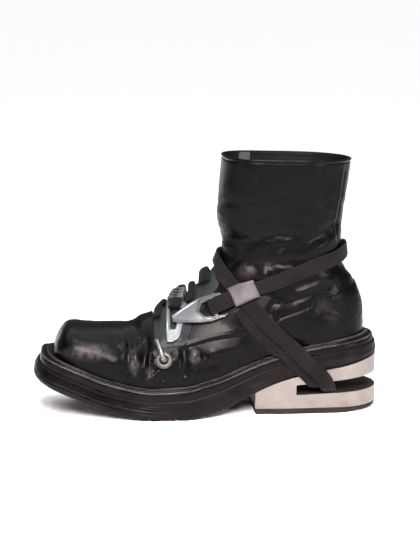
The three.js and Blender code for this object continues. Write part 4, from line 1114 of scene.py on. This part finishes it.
welt_levels = [
    {**setback(WELT_WIDTH), "height": part_way(0.01, WELT_BASE, WELT)},
    *layer_levels(
        WELT_BASE,
        WELT,
        (6.2, 2.8, 1.6, 0.01, 0),
        (6, 2.6, 1.2, 0.15, 0),
        (6.2, 2.8, 1.2, 0.5, 0),
        (6.8, 3.4, 1.5, 0.74, 0),
        (7.8, 4.4, 2.3, 0.8, 0),
        (6.9, 3.5, 1.5, 0.86, 0),
        (6.8, 3.4, 1.4, 0.93, 0),
    ),
]
for front, back, inset, stitch, height in (
    (7.4, 4.0, 1.8, 0, 0.2),
    (8.6, 5.0, 2.5, 0, 0.1),
    (10.2, 6.6, 3.6, 0, -0.5),
    (10.9, 7.3, 4.0, 0.35, 0.9),
    (11.5, 7.9, 4.2, 0.4, 1.6),
    (12.4, 8.8, 4.8, 0, 1.7),
    (12.2, 8.6, 4.5, 0, 2.3),
    (12.6, 9.0, 4.5, 0, 3.1),
    (13.6, 9.8, 5.0, 0, WELT_RIDGE),
):
    level = {"front": front, "back": back, "inset": inset, "stitch": stitch, "height": over_rim(height)}
    welt_levels.append(level)
welt_levels.append({**setback(WELT_WIDTH), "height": over_rim(WELT_RIDGE)})
# Welt levels whose faces, the bead and the rim edges, take the lighter rubber: a painted highlight.
HIGHLIGHT_LEVELS = (5, 6, 7, 8, 13, 14, 15)
welt_points, welt_faces = slab_mesh(welt_levels, ring=True)
welt = add_mesh("welt_rubber", welt_points, welt_faces, [welt_rubber, welt_highlight_rubber], ["welt"], "midsole_rubber", 35)
welt_columns = len(welt_points) // len(welt_levels)
if len(welt.data.polygons) == len(welt_faces):
    for level in HIGHLIGHT_LEVELS:
        for k in range(level * welt_columns, (level + 1) * welt_columns):
            welt.data.polygons[k].material_index = 1

side_room = WALL + GAP + INSOLE_EASE
INSOLE_BEVEL = 0.8
INSOLE_EDGE = 0.6
insole_levels = [
    {**setback(WELT_WIDTH + GAP), "height": lambda x: layer_at(x, WELT_BASE) + GAP / 2},
    {**setback(WELT_WIDTH + GAP), "height": edge_at},
    {**setback(side_room), "height": lambda x: edge_at(x) + GAP},
    {**setback(side_room), "height": lambda x: edge_at(x) + INSOLE - INSOLE_EDGE},
    {**setback(side_room + INSOLE_BEVEL), "height": lambda x: edge_at(x) + INSOLE},
]
insole_points, insole_faces = slab_mesh(insole_levels, 90)
add_mesh("insole_board", insole_points, insole_faces, [board], ["insole"], "lining", 35)


# Metal heel and its lift
def prism(outline, axis, low, high):
    """Closed outline pushed out along Y ("side") or Z ("plan"), as points and faces."""
    outline = np.asarray(outline, float)
    if area_of(outline) < 0:
        outline = outline[::-1]
    count = len(outline)
    rings = []
    for level in (low, high):
        level_column = np.full(count, float(level))
        if axis == "side":
            rings.append(np.stack([outline[:, 0], level_column, outline[:, 1]], -1))
        else:
            rings.append(np.stack([outline[:, 0], outline[:, 1], level_column], -1))
    faces = [list(range(count))[::-1], list(range(count, 2 * count))]
    for i in range(count):
        j = (i + 1) % count
        faces.append([i, j, count + j, count + i])
    if axis == "side":
        faces = [face[::-1] for face in faces]
    return np.concatenate(rings), faces


def raw_object(name, points, faces):
    mesh = bpy.data.meshes.new(name)
    mesh.from_pydata((np.asarray(points) * MM).tolist(), [], faces)
    return put(name, mesh)


def common_part(first, second):
    """Mesh data of what two closed meshes share."""
    a = raw_object("cut_a", *first)
    b = raw_object("cut_b", *second)
    cut = a.modifiers.new("common", "BOOLEAN")
    cut.operation = "INTERSECT"
    cut.object = b
    cut.solver = "EXACT"
    evaluated = a.evaluated_get(bpy.context.evaluated_depsgraph_get())
    mesh = evaluated.to_mesh()
    points = np.array([v.co for v in mesh.vertices], float) / MM
    faces = [list(p.vertices) for p in mesh.polygons]
    evaluated.to_mesh_clear()
    for made in (a, b):
        bpy.data.objects.remove(made, do_unlink=True)
    return points, faces


BREAST_X = HEEL_X - HEEL_BLOCK_LENGTH
SLOT_X = HEEL_X - SLOT_LENGTH
PLATE_TOP = HEEL_LIFT + GAP + HEEL_PLATE
WAIST_END = 0.694
BREAST_INSET = 2
BLOCK_INSET = 0.4
LIFT_INSET = 0.8


def heel_plan(inset):
    share = np.sin(np.pi / 2 * np.linspace(0, 1, 61))
    start = BREAST_X + inset
    end = HEEL_X - inset
    x = mix(start, end, share)
    sides = []
    for side in (-1, 1):
        breast = BREAST_INSET * (1 - smooth(share, 0, 0.3))
        core = core_half(np.maximum(x, x_at(WAIST_END)), side) - inset - breast
        half = core * end_share(end - x, HEEL_ROUND, HEEL_ROUNDNESS)
        sides.append(np.stack([x, side * half], -1))
    return np.concatenate([sides[0], sides[1][-2::-1]])


def heel_part(inset, side_outline):
    """The heel's plan, moved in by an inset, cut to an outline seen from the side."""
    plan = prism(heel_plan(inset), "plan", -HEEL_RISE / 2, 1.5 * HEEL_RISE)
    return common_part(plan, prism(side_outline, "side", -BALL_WIDTH, BALL_WIDTH))


def softened(made, width):
    bevel = made.modifiers.new("edges", "BEVEL")
    bevel.width = width * MM
    bevel.segments = 2
    bevel.limit_method = "ANGLE"
    bevel.angle_limit = math.radians(38)
    bevel.harden_normals = False


block_x = np.linspace(BREAST_X, HEEL_X, 40)
block_side = np.concatenate(
    [
        [(BREAST_X, HEEL_LIFT + GAP)],
        np.stack([block_x, under_at(block_x) - GAP], -1),
        [
            (HEEL_X, PLATE_TOP + HEEL_PLATE_RISE + SLOT_HEIGHT + SLOT_OPENING),
            (SLOT_X, PLATE_TOP + SLOT_HEIGHT),
            (SLOT_X, PLATE_TOP),
            (HEEL_X, PLATE_TOP + HEEL_PLATE_RISE),
            (HEEL_X, HEEL_LIFT + GAP),
        ],
    ]
)
block = heel_part(BLOCK_INSET, block_side)
heel_block = add_mesh("heel_block_metal", *block, [heel_metal], ["heel_block"], "heel_metal", 30)
softened(heel_block, 0.5)
# The slot's floor, roof and inner end take the darker metal: painted shade.
heel_block.data.materials.append(slot_painted_shade)
for polygon in heel_block.data.polygons:
    middle = polygon.center / MM
    in_slot = middle.x >= SLOT_X - 1 and PLATE_TOP - 1 < middle.z < HEEL_RISE - HEEL_PLATE
    faces_slot = abs(polygon.normal.z) > 0.8 or polygon.normal.x > 0.9
    if in_slot and faces_slot and abs(middle.y) < 0.4 * HEEL_WIDTH:
        polygon.material_index = 1

lift_side = [
    (BREAST_X, 0),
    (BREAST_X, HEEL_LIFT),
    (HEEL_X, HEEL_LIFT),
    (HEEL_X, LIFT_WEAR),
    (HEEL_X - LIFT_WEAR_LENGTH, 0),
]
lift = heel_part(LIFT_INSET, lift_side)
heel_lift = add_mesh("heel_lift_rubber", *lift, [lift_rubber], ["heel_lift"], "sole_rubber", 30)
softened(heel_lift, 0.35)


# Straps
def layer_lift(layer):
    return STRAP_EASE + layer * (STRAP_THICKNESS + GAP)


def section_reaching(name, up):
    low = float(HEEL_SECTION) if name == "back_up" else 0.0
    high = float(COLLAR_SECTION)
    for _ in range(40):
        middle = (low + high) / 2
        if SECTION_COLUMN[name](middle) < up:
            low = middle
        else:
            high = middle
    return low


def skin_path(rows):
    """Smooth path over the skin through rows of (on, along, up, layer), as a function of the distance."""
    places = []
    for on, along, up, layer in rows:
        if on == "ridge":
            s, turn = section_reaching("front_up", up), 0.0
        elif on == "back":
            s, turn = section_reaching("back_up", up), 1.0
        else:
            x = x_at(along)
            side = -1 if on == "outer" else 1
            s, turn = (float(v) for v in skin_at(x, rim_at(x) + up * UPPER_HEIGHT, side))
        if places:
            turn += 2 * np.floor((places[-1][1] - turn) / 2 + 0.5)
        places.append((s, turn, layer))
    places = np.array(places, float)
    distances = run_along(skin_point(places[:, 0], places[:, 1]))
    follow = [curve_through(distances, places[:, k]) for k in range(3)]

    def at(d):
        return follow[0](d), follow[1](d), layer_lift(follow[2](d))

    return distances[-1], at


def nearest_place(point, s, turn):
    step = 0.01
    for _ in range(3):
        here = skin_point(s, turn)
        along_s = (skin_point(s + step, turn) - skin_point(s - step, turn)) / (2 * step)
        along_turn = (skin_point(s, turn + step) - skin_point(s, turn - step)) / (2 * step)
        off = point - here
        a, b = (along_s * along_s).sum(-1), (along_s * along_turn).sum(-1)
        c = (along_turn * along_turn).sum(-1)
        p, q = (along_s * off).sum(-1), (along_turn * off).sum(-1)
        det = a * c - b * b
        s = s + (p * c - q * b) / det
        turn = turn + (q * a - p * b) / det
    return s, turn


ACROSS = np.array([-0.5, 0.0, 0.5])


def skin_stations(path, start, end, spacing, width, heights):
    """Cross rows of a strap on the skin: points[station, across, height]."""
    length, at = path
    count = max(int(round((end - start) / spacing)), 1)
    d = np.linspace(start, end, count + 1)
    s, turn, lift = at(d)
    before = at(np.maximum(d - 1, 0))
    after = at(np.minimum(d + 1, length))
    tangent = skin_point(after[0], after[1]) - skin_point(before[0], before[1])
    across = unit(np.cross(skin_normal(s, turn), tangent))
    centre = skin_point(s, turn)
    rows = np.zeros((count + 1, len(ACROSS), len(heights), 3))
    for k, aside in enumerate(ACROSS * width):
        near_s, near_turn = nearest_place(centre + across * aside, s, turn)
        for h, height in enumerate(heights):
            rows[:, k, h] = off_skin(near_s, near_turn, lift + height)
    return rows


STRAP_SPACING = 10
STRAP_HEIGHTS = (0, STRAP_THICKNESS)


def whole_strap(path):
    """Cross rows of a strap of the common width along a whole path."""
    return skin_stations(path, 0, path[0], STRAP_SPACING, STRAP_WIDTH, STRAP_HEIGHTS)


SLOT_ROUTE = table(
    "along out up face lean",
    (0.755, 1.03, 1.12, 0, 47),
    (0.773, 1.04, 1.0, 0, 47),
    (0.8, 1.04, 0.84, 0, 46),
    (0.828, 1.04, 0.665, 4, 40),
    (0.84, 1.04, 0.56, 30, 26),
    (0.845, 0.98, 0.51, 70, 12),
    (0.847, 0.88, 0.495, 90, 3),
    (0.847, 0.4, 0.49, 90, 0),
)


def slot_stations(shift, layer, width, heights):
    """Cross rows of a strap past the sole's side and through the heel's slot, and the same mirrored."""
    face = np.radians(SLOT_ROUTE["face"])
    lean = np.radians(SLOT_ROUTE["lean"])
    zero = np.zeros(len(face))
    normal = np.stack([zero, -np.cos(face), -np.sin(face)], -1)
    down = np.stack([zero, np.sin(face), -np.cos(face)], -1)
    tangent = down * np.cos(lean)[:, None] + np.stack([np.sin(lean), zero, zero], -1)
    across = unit(np.cross(normal, tangent))
    centre = np.stack(
        [
            x_at(SLOT_ROUTE["along"]) + shift,
            -SLOT_ROUTE["out"] * HEEL_WIDTH / 2,
            SLOT_ROUTE["up"] * HEEL_RISE,
        ],
        -1,
    )
    centre = centre + normal * layer * (STRAP_THICKNESS + GAP)
    rows = np.zeros((len(face), len(ACROSS), len(heights), 3))
    for k, aside in enumerate(ACROSS * width):
        for h, height in enumerate(heights):
            rows[:, k, h] = centre + across * aside + normal * height
    return np.concatenate([rows, rows[::-1] * (1, -1, 1)])


def finer(rows, parts):
    """More cross rows, along curves through the given ones."""
    return rounded(rows.reshape(len(rows), -1), parts).reshape(-1, *rows.shape[1:])


def spread_across(rows, across):
    """Shares from one edge (-0.5) to the other, and the low and high face of cross rows at them."""
    t = np.linspace(-0.5, 0.5, across)
    weight = np.stack([2 * t * (t - 0.5), 1 - 4 * t * t, 2 * t * (t + 0.5)], -1)
    faces_at = np.einsum("ak,skhc->sahc", weight, rows)
    return t, faces_at[:, :, 0], faces_at[:, :, 1]


def quarter_round(share):
    """Height of a rounded corner over the share of its width."""
    share = np.clip(share, 0, 1)
    return np.sqrt(share * (2 - share))


def outwards(made):
    """Turns a closed mesh's faces outwards."""
    work = bmesh.new()
    work.from_mesh(made.data)
    bmesh.ops.recalc_face_normals(work, faces=work.faces)
    work.to_mesh(made.data)
    work.free()


def rod_faces(count, ring):
    """Faces of a rod of count rings of points, with both ends closed."""
    ends = [list(range(ring))[::-1], [(count - 1) * ring + k for k in range(ring)]]
    return grid_faces(count, ring, closed=True) + ends


def strap_mesh(name, rows, width, look, replaced, fine=5, across=11, crown=0.25, soft_edge=0.08):
    """Strap through coarse cross rows (low and high face), rounded along its length, with a soft crown."""
    t, low, high = spread_across(finer(rows, fine), across)
    thick = (0.35 + 0.65 * quarter_round((0.5 - np.abs(t)) / soft_edge))[None, :, None]
    middle = (low + high) / 2
    bulge = crown * (1 - 4 * t * t)[None, :, None] * unit(high - low) * 0.4
    top = middle + (high - low) / 2 * thick + bulge
    bottom = middle - (high - low) / 2 * thick
    loop = np.concatenate([bottom, top[:, ::-1]], axis=1)
    count, ring = loop.shape[:2]
    uv = np.zeros((count, ring, 2))
    uv[:, :, 0] = run_along(middle[:, across // 2])[:, None]
    uv[:, :across, 1] = t * width
    uv[:, across:, 1] = t[::-1] * width
    faces = rod_faces(count, ring)
    outwards(add_mesh(name, loop.reshape(-1, 3), faces, [look], replaced, "webbing", 50, uv.reshape(-1, 2)))


ANKLE_ROUTE = [
    ("outer", 0.5245, 0.33, 2.6), ("outer", 0.603, 0.348, 2.9), ("outer", 0.66, 0.352, 1),
    ("outer", 0.7, 0.356, 0), ("outer", 0.758, 0.369, 0), ("outer", 0.8355, 0.389, 0),
    ("back", 0, 0.417, 1.5), ("inner", 0.8355, 0.405, 0), ("inner", 0.74, 0.425, 0),
    ("inner", 0.63, 0.46, 0.4), ("ridge", 0, 0.527, 1.2), ("outer", 0.55, 0.455, 0.2),
    ("outer", 0.583, 0.367, 0.6), ("outer", 0.6226, 0.276, 1), ("outer", 0.688, 0.134, 1.3),
    ("outer", 0.724, 0.065, 1.9),
]
ANKLE_END = [("inner", 0.724, 0.065, 3.4), ("inner", 0.688, 0.134, 1.6), ("inner", 0.64, 0.235, 1)]
HEEL_START = [
    ("outer", 0.589, 0.288, 0), ("outer", 0.6, 0.26, 0), ("outer", 0.655, 0.125, 0),
    ("outer", 0.688, 0.052, 0),
]
HEEL_END = [("inner", 0.688, 0.052, 0), ("inner", 0.655, 0.125, 0), ("inner", 0.615, 0.22, 0)]
HEEL_STRAP_SHIFT = -11
BANDS = {
    "band_front": [
        ("outer", 0.356, 0.31, 0), ("outer", 0.374, 0.344, 0.5), ("ridge", 0, 0.354, 1.1),
        ("inner", 0.385, 0.32, 0), ("inner", 0.388, 0.2, 0),
    ],
    "band_middle": [
        ("outer", 0.453, 0.372, 0), ("ridge", 0, 0.424, 0.9), ("inner", 0.475, 0.37, 0),
        ("inner", 0.478, 0.26, 0),
    ],
    "band_rear": [
        ("outer", 0.497, 0.432, 0.6), ("ridge", 0, 0.467, 2), ("inner", 0.518, 0.4, 0),
        ("inner", 0.52, 0.27, 0),
    ],
    "band_link": [
        ("outer", 0.409, 0.34, 1.4), ("outer", 0.4205, 0.373, 2.2), ("ridge", 0, 0.4, 3),
        ("inner", 0.437, 0.355, 0.4), ("inner", 0.437, 0.23, 0),
    ],
}

ANKLE_SLOT_LAYER = 1.9
HOOK_END = ("outer", 0.508, 0.3262, 2.5)
ankle_path = skin_path(ANKLE_ROUTE)
ankle_whole = skin_path([HOOK_END, *ANKLE_ROUTE])
ankle_end = skin_path(ANKLE_END)
ankle_rows = np.concatenate(
    [
        whole_strap(ankle_whole),
        slot_stations(0, ANKLE_SLOT_LAYER, STRAP_WIDTH, STRAP_HEIGHTS),
        whole_strap(ankle_end),
    ]
)
strap_mesh("ankle_strap_webbing", ankle_rows, STRAP_WIDTH, webbing, ["strap_ankle"])

heel_rows = np.concatenate(
    [
        whole_strap(skin_path(HEEL_START)),
        slot_stations(HEEL_STRAP_SHIFT, 0, STRAP_WIDTH, STRAP_HEIGHTS),
        whole_strap(skin_path(HEEL_END)),
    ]
)
strap_mesh("heel_strap_webbing", heel_rows, STRAP_WIDTH, webbing, ["strap_heel"])

BAND_SPACING = 3
band_paths = {}
for band, route in BANDS.items():
    width = BAND_WIDTH if band in ("band_rear", "band_link") else NARROW_BAND
    path = band_paths[band] = skin_path(route)
    rows = skin_stations(path, 0, path[0], BAND_SPACING, width, STRAP_HEIGHTS)
    for _ in range(4):
        rows[1:-1] = (rows[:-2] + 2 * rows[1:-1] + rows[2:]) / 4
    strap_mesh(band + "_webbing", rows, width, band_webbing, [band], 3, 15, crown=4.5, soft_edge=0.35)


# Metal sleeves on the straps
SLEEVE_LIP = 1.2
SLEEVE_EASE = 2 * GAP
SLEEVE_CORNER = 0.5


def sleeve_mesh(name, path, start, end, width, look, replaced, bars=()):
    """Hollow sleeve round a strap; bars are raised ribs across it, as shares of its length."""
    low = -SLEEVE_EASE - SLEEVE_LIP / 2
    high = STRAP_THICKNESS + SLEEVE_EASE + SLEEVE_LIP / 2
    wide = width + 2 * (SLEEVE_EASE + SLEEVE_LIP)
    stations = finer(skin_stations(path, start, end, 6, wide, (low, high)), 8)
    count = len(stations)
    t, bottom, top = spread_across(stations, 15)
    up = unit(top - bottom)
    side = unit(bottom[:, -1:] - bottom[:, :1])
    drop = (SLEEVE_CORNER * (1 - quarter_round((0.5 - np.abs(t)) * wide / SLEEVE_CORNER)))[None, :, None]
    share = np.linspace(0, 1, count)
    raised = sum((bell(share - place, 0.05) for place in bars), np.zeros(count))
    worn = 0.06 * drawn_noise(top.reshape(-1, 3), 5, (1, 1, 1), 41).reshape(top.shape[:2])
    end_round = -0.2 * bell(np.minimum(share, 1 - share), 0.025)
    outer_top = top + up * (raised[:, None, None] + worn[:, :, None] + end_round[:, None, None] - drop)
    outer_bottom = bottom + up * drop
    inwards = side * (t * 2 * SLEEVE_LIP)[None, :, None]
    inner_top = top - up * SLEEVE_LIP / 2 - inwards
    inner_bottom = bottom + up * SLEEVE_LIP / 2 - inwards
    outer = np.concatenate([outer_bottom, outer_top[:, ::-1]], axis=1)
    inner_loop = np.concatenate([inner_bottom, inner_top[:, ::-1]], axis=1)
    ring = outer.shape[1]
    points = np.concatenate([outer.reshape(-1, 3), inner_loop.reshape(-1, 3)])
    faces = grid_faces(count, ring, closed=True)
    shift = count * ring
    faces += [[k + shift for k in face][::-1] for face in faces]
    for row in (0, count - 1):
        for k in range(ring):
            n = (k + 1) % ring
            faces.append([row * ring + k, row * ring + n, shift + row * ring + n, shift + row * ring + k])
    outwards(add_mesh(name, points, faces, [look], replaced, "trim_metal", 35))


STRAP_CLAMP_SPAN = (14.5, 38.5)
LINK_CLAMP_SPAN = (9, 20)
LINK_CLAMP_BARS = (0.1, 0.36, 0.62, 0.9)
sleeve_mesh("strap_clamp_metal", ankle_path, *STRAP_CLAMP_SPAN, STRAP_WIDTH, clamp_metal, ["strap_clamp"])
clamp_place = (band_paths["band_link"], *LINK_CLAMP_SPAN, BAND_WIDTH)
sleeve_mesh("link_clamp_metal", *clamp_place, link_metal, ["link_clamp"], LINK_CLAMP_BARS)


# Hook and link
def outline_at(rows, center, length, width, degrees):
    angle = math.radians(degrees)
    ahead = np.array([-math.cos(angle), -math.sin(angle)])
    above = np.array([-math.sin(angle), math.cos(angle)])
    rows = np.asarray(rows, float)
    return center + rows[:, :1] * length * ahead + rows[:, 1:] * width * above


def on_offset(flat, lift):
    """Places on the skin whose points at a lift are seen from the side at flat."""
    aim = np.array(flat, float)
    for _ in range(5):
        s, turn = skin_at(aim[:, 0], aim[:, 1], -1)
        found = off_skin(s, turn, np.full(len(s), lift))[:, (0, 2)]
        aim += flat - found
    return s, turn


def densified(outline, spacing):
    points = []
    for a, b in zip(outline, np.roll(outline, -1, axis=0)):
        count = max(int(np.linalg.norm(b - a) / spacing), 1)
        points += [a + (b - a) * k / count for k in range(count)]
    return np.array(points)


PLATE_CORNER = 0.9
PLATE_ROUND = 0.45


def plate_mesh(name, outline, holes, lift, thickness, height, look, replaced, spacing=0.5):
    """Plate on the skin at a lift, with an outline and holes seen from the side. height adds to its top."""
    rings = [densified(ring, spacing) for ring in [outline, *holes]]
    edge_points = np.concatenate(rings)
    low, high = outline.min(0), outline.max(0)
    grid = np.stack(np.meshgrid(*(np.arange(low[k], high[k], spacing) for k in (0, 1))), -1).reshape(-1, 2)
    clear = inside(grid, outline)
    clear &= to_line(grid, outline, closed=True)[0] > spacing * 0.6
    for hole in holes:
        clear &= ~inside(grid, hole) & (to_line(grid, hole, closed=True)[0] > spacing * 0.6)
    edges = []
    start = 0
    for ring in rings:
        edges += [(start + i, start + (i + 1) % len(ring)) for i in range(len(ring))]
        start += len(ring)
    flat = np.concatenate([edge_points, grid[clear]])
    result = delaunay_2d_cdt([Vector(p) for p in flat], edges, [], 0, 1e-5)
    flat = np.array([tuple(v) for v in result[0]])
    triangles = np.array([tuple(face) for face in result[2]])
    centres = flat[triangles].mean(1)
    kept = inside(centres, outline)
    for hole in holes:
        kept &= ~inside(centres, hole)
    triangles = triangles[kept]
    a, b, c = (flat[triangles[:, k]] for k in range(3))
    turned = (b - a)[:, 0] * (c - a)[:, 1] - (b - a)[:, 1] * (c - a)[:, 0]
    triangles[turned < 0] = triangles[turned < 0][:, ::-1]
    s, turn = on_offset(flat, lift + thickness / 2)
    distance = to_line(flat, outline, closed=True)[0]
    for hole in holes:
        distance = np.minimum(distance, to_line(flat, hole, closed=True)[0])
    round_off = PLATE_ROUND * (1 - quarter_round(distance / PLATE_CORNER))
    top = off_skin(s, turn, lift + thickness - round_off + height(flat, distance))
    bottom = off_skin(s, turn, np.full(len(s), float(lift)))
    count = len(flat)
    faces = [tuple(t) for t in triangles] + [tuple(count + k for k in t[::-1]) for t in triangles]
    edge_use = {(t[k], t[(k + 1) % 3]): True for t in triangles for k in range(3)}
    faces += [(j, i, count + i, count + j) for i, j in edge_use if (j, i) not in edge_use]
    outwards(add_mesh(name, np.concatenate([top, bottom]), faces, [look], replaced, "trim_metal", 42))


HOOK_LENGTH = 42
HOOK_WIDTH = 22
HOOK_LEAN = 16.6
HOOK_LIFT = 2.6
hook_place = (side_points([(0.526, 0.337)])[0], HOOK_LENGTH, HOOK_WIDTH, HOOK_LEAN)
hook_outline = outline_at(
    [(1, 0.1), (0.68, 0.28), (0.33, 0.45), (0.03, 0.5), (-0.12, 0.46), (-0.19, 0.36)]
    + [(-0.06, 0.33), (0.04, 0.33), (0.04, -0.33), (-0.06, -0.34), (-0.16, -0.36), (-0.1, -0.46)]
    + [(0.19, -0.49), (0.46, -0.4), (0.75, -0.24), (1, -0.1)],
    *hook_place,
)
hook_window = outline_at([(0.4, 0), (0.29, 0.25), (0.12, 0.3), (0.12, -0.3), (0.31, -0.25)], *hook_place)


def hook_height(flat, distance):
    """Raised rim along the hook's edges."""
    return 0.7 * bell(distance - 1.0, 0.7)


hook_parts = (hook_outline, [hook_window], HOOK_LIFT, METAL, hook_height)
plate_mesh("hook_metal_plate", *hook_parts, hook_metal, ["hook"])

LINK_LENGTH = 36
LINK_WIDTH = 16
LINK_LEAN = 90
LINK_LIFT = 0.7
link_place = (side_points([(0.41, 0.291)])[0], LINK_LENGTH, LINK_WIDTH, LINK_LEAN)
link_outline = outline_at(
    [(-0.4, 0.456), (-0.15, 0.569), (0.144, 0.625), (0.381, 0.625), (0.381, 0.294), (0.311, -0.019)]
    + [(0.208, -0.175), (-0.025, -0.344), (-0.244, -0.525), (-0.422, -0.606), (-0.508, -0.419)]
    + [(-0.469, 0.194)],
    *link_place,
)
link_slot = outline_at(
    [(-0.25, 0.319), (0.106, 0.369), (0.106, 0.125), (-0.092, -0.056), (-0.372, -0.25), (-0.372, 0.25)],
    *link_place,
)


def link_height(flat, distance):
    """Low rim along the link's edges."""
    return 0.25 * bell(distance - 0.8, 0.6)


link_parts = (link_outline, [link_slot], LINK_LIFT, METAL, link_height)
plate_mesh("link_metal_plate", *link_parts, link_metal, ["link"])

# Eyelet and its wire
EYELET_RADIUS = 7.6
EYELET_BORE = 3.3
EYELET_SHEET = 0.9
EYELET_ALONG = 0.369
EYELET_UP = 0.148
eyelet_x = x_at(EYELET_ALONG)
eyelet_s, eyelet_turn = skin_at(eyelet_x, rim_at(eyelet_x) + EYELET_UP * UPPER_HEIGHT, -1)
eyelet_base = skin_point(eyelet_s, eyelet_turn)
eyelet_normal = skin_normal(eyelet_s, eyelet_turn)


def eyelet_mesh():
    """Ring with a rolled rim, turned round the eyelet's normal."""
    under = GAP + 0.4
    crown = under + 1.9 * EYELET_SHEET
    profile = rounded(
        [
            (EYELET_BORE, -WALL - GAP),
            (EYELET_BORE, under - 0.4),
            (EYELET_BORE + 0.6, crown - 0.5),
            (EYELET_BORE + 1.8, crown),
            (EYELET_RADIUS - 1.2, crown - 0.4),
            (EYELET_RADIUS, under + 0.2),
            (EYELET_RADIUS - 0.5, under - 0.15),
            (EYELET_BORE + EYELET_SHEET, under - 0.3),
            (EYELET_BORE + EYELET_SHEET, -WALL - GAP),
        ],
        4,
        closed=True,
    )
    aside = unit(np.cross(eyelet_normal, (0, 0, 1.0)))
    above = np.cross(aside, eyelet_normal)
    points = []
    for angle in np.linspace(0, 2 * np.pi, 64, endpoint=False):
        out = aside * np.cos(angle) + above * np.sin(angle)
        points.append(eyelet_base + profile[:, :1] * out + profile[:, 1:] * eyelet_normal)
    rows, columns = len(points), len(profile)
    points = np.array(points).reshape(-1, 3)
    faces = grid_faces(rows, columns, closed=True) + grid_wrap(rows, columns)
    outwards(add_mesh("eyelet_metal", points, faces, [eyelet_metal], ["eyelet"], "trim_metal", 60))


eyelet_mesh()


WIRE_RADIUS = 2.3
WIRE_SIDES = 14
WIRE_TAPER = 0.15
WIRE_ROUTE = table(
    "along up lift",
    (0.3475, 0.222, 1.6),
    (0.352, 0.219, 3.0),
    (0.357, 0.2, 4.2),
    (0.361, 0.184, 4.6),
    (0.365, 0.1665, 4.6),
    (0.3678, 0.153, 3.6),
    (0.369, 0.147, 1),
    (0.369, 0.147, -2.2),
)


def wire_mesh():
    """Round wire from the link over the leather into the eyelet, thinner at both ends."""
    x = x_at(WIRE_ROUTE["along"])
    s, turn = skin_at(x, rim_at(x) + WIRE_ROUTE["up"] * UPPER_HEIGHT, -1)
    line = rounded(off_skin(s, turn, WIRE_ROUTE["lift"]), 6)
    tangent = unit(np.gradient(line, axis=0))
    side = unit(np.cross(tangent, (0.2, 1.0, 0.1)))
    over = np.cross(tangent, side)
    angle = np.linspace(0, 2 * np.pi, WIRE_SIDES, endpoint=False)[None, :, None]
    ring = side[:, None] * np.cos(angle) + over[:, None] * np.sin(angle)
    share = np.linspace(0, 1, len(line))
    size = WIRE_RADIUS * (1 - WIRE_TAPER * bell(np.minimum(share, 1 - share), 0.03))
    points = (line[:, None] + ring * size[:, None, None]).reshape(-1, 3)
    faces = rod_faces(len(line), WIRE_SIDES)
    outwards(add_mesh("eyelet_wire_metal", points, faces, [link_metal], ["eyelet_wire"], "trim_metal", 60))


wire_mesh()


# Camera, floor and light
IMAGE_WIDTH = 420
FOCAL_PIXELS = 1669
CAMERA_DISTANCE = 1.5
CAMERA_ELEVATION = math.radians(10.5)
CAMERA_AZIMUTH = math.radians(5)
TARGET = Vector((0.004, 0, 0.116))


def aim(made, target):
    made.rotation_euler = (target - made.location).to_track_quat("-Z", "Y").to_euler()


camera = put("camera", bpy.data.cameras.new("camera"))
flat_reach = math.cos(CAMERA_ELEVATION) * CAMERA_DISTANCE
camera.location = TARGET + Vector(
    (
        -math.sin(CAMERA_AZIMUTH) * flat_reach,
        -math.cos(CAMERA_AZIMUTH) * flat_reach,
        math.sin(CAMERA_ELEVATION) * CAMERA_DISTANCE,
    )
)
aim(camera, TARGET)
SENSOR_WIDTH = 36
camera.data.sensor_fit = "HORIZONTAL"
camera.data.sensor_width = SENSOR_WIDTH
camera.data.lens = SENSOR_WIDTH * FOCAL_PIXELS / IMAGE_WIDTH
bpy.context.scene.camera = camera


def area_light(name, location, target, size, power, color=(1, 1, 1), spread=180):
    lamp = bpy.data.lights.new(name, "AREA")
    lamp.shape = "RECTANGLE"
    lamp.size, lamp.size_y = size
    lamp.energy = power
    lamp.color = color
    lamp.spread = math.radians(spread)
    made = put(name, lamp)
    made.location = location
    aim(made, Vector(target))


area_light("key", (-0.06, -1.28, 1.02), (-0.02, 0, 0.07), (0.62, 0.9), 9.0, (1, 0.9, 0.88), 60)
area_light("over", (-0.08, -0.2, 1.5), (-0.05, 0, 0.05), (0.3, 0.25), 5)
area_light("left", (-1.3, -0.85, 0.35), (0, 0, 0.12), (0.3, 0.3), 2.8, (1, 0.95, 0.92))
area_light("right", (1.1, -1.05, 0.32), (0.08, 0, 0.12), (0.25, 0.35), 9, (1, 0.965, 0.95))

sky = bpy.data.lights.new("sky", "SUN")
sky.energy = 2.95
sky.angle = math.radians(95)
sky_lamp = put("sky", sky)
sky_lamp.location = (0, 0.1, 2)
aim(sky_lamp, Vector((0, 0, 0)))

world = bpy.data.worlds.new("studio")
bpy.context.scene.world = world
world.use_nodes = True
background = world.node_tree.nodes["Background"]
background.inputs["Color"].default_value = (1, 1, 1, 1)
background.inputs["Strength"].default_value = 0.12

floor_mesh = bpy.data.meshes.new("floor")
FLOOR = 60.0
floor_corners = [(-FLOOR, -FLOOR, 0), (FLOOR, -FLOOR, 0), (FLOOR, FLOOR, 0), (-FLOOR, FLOOR, 0)]
floor_mesh.from_pydata(floor_corners, [], [(0, 1, 2, 3)])
floor = put("floor", floor_mesh)
floor_material, floor_tree, floor_shader = material("floor_paper")
floor_tone = texture(floor_tree, 3, detail=2)
floor_tone = ramp(floor_tree, floor_tone, [(0.0, 0.94), (1.0, 0.97)])
floor_tree.links.new(floor_tone, floor_shader.inputs["Base Color"])
floor_shader.inputs["Roughness"].default_value = 0.9
floor_mesh.materials.append(floor_material)

bpy.context.scene.view_settings.view_transform = "Standard"
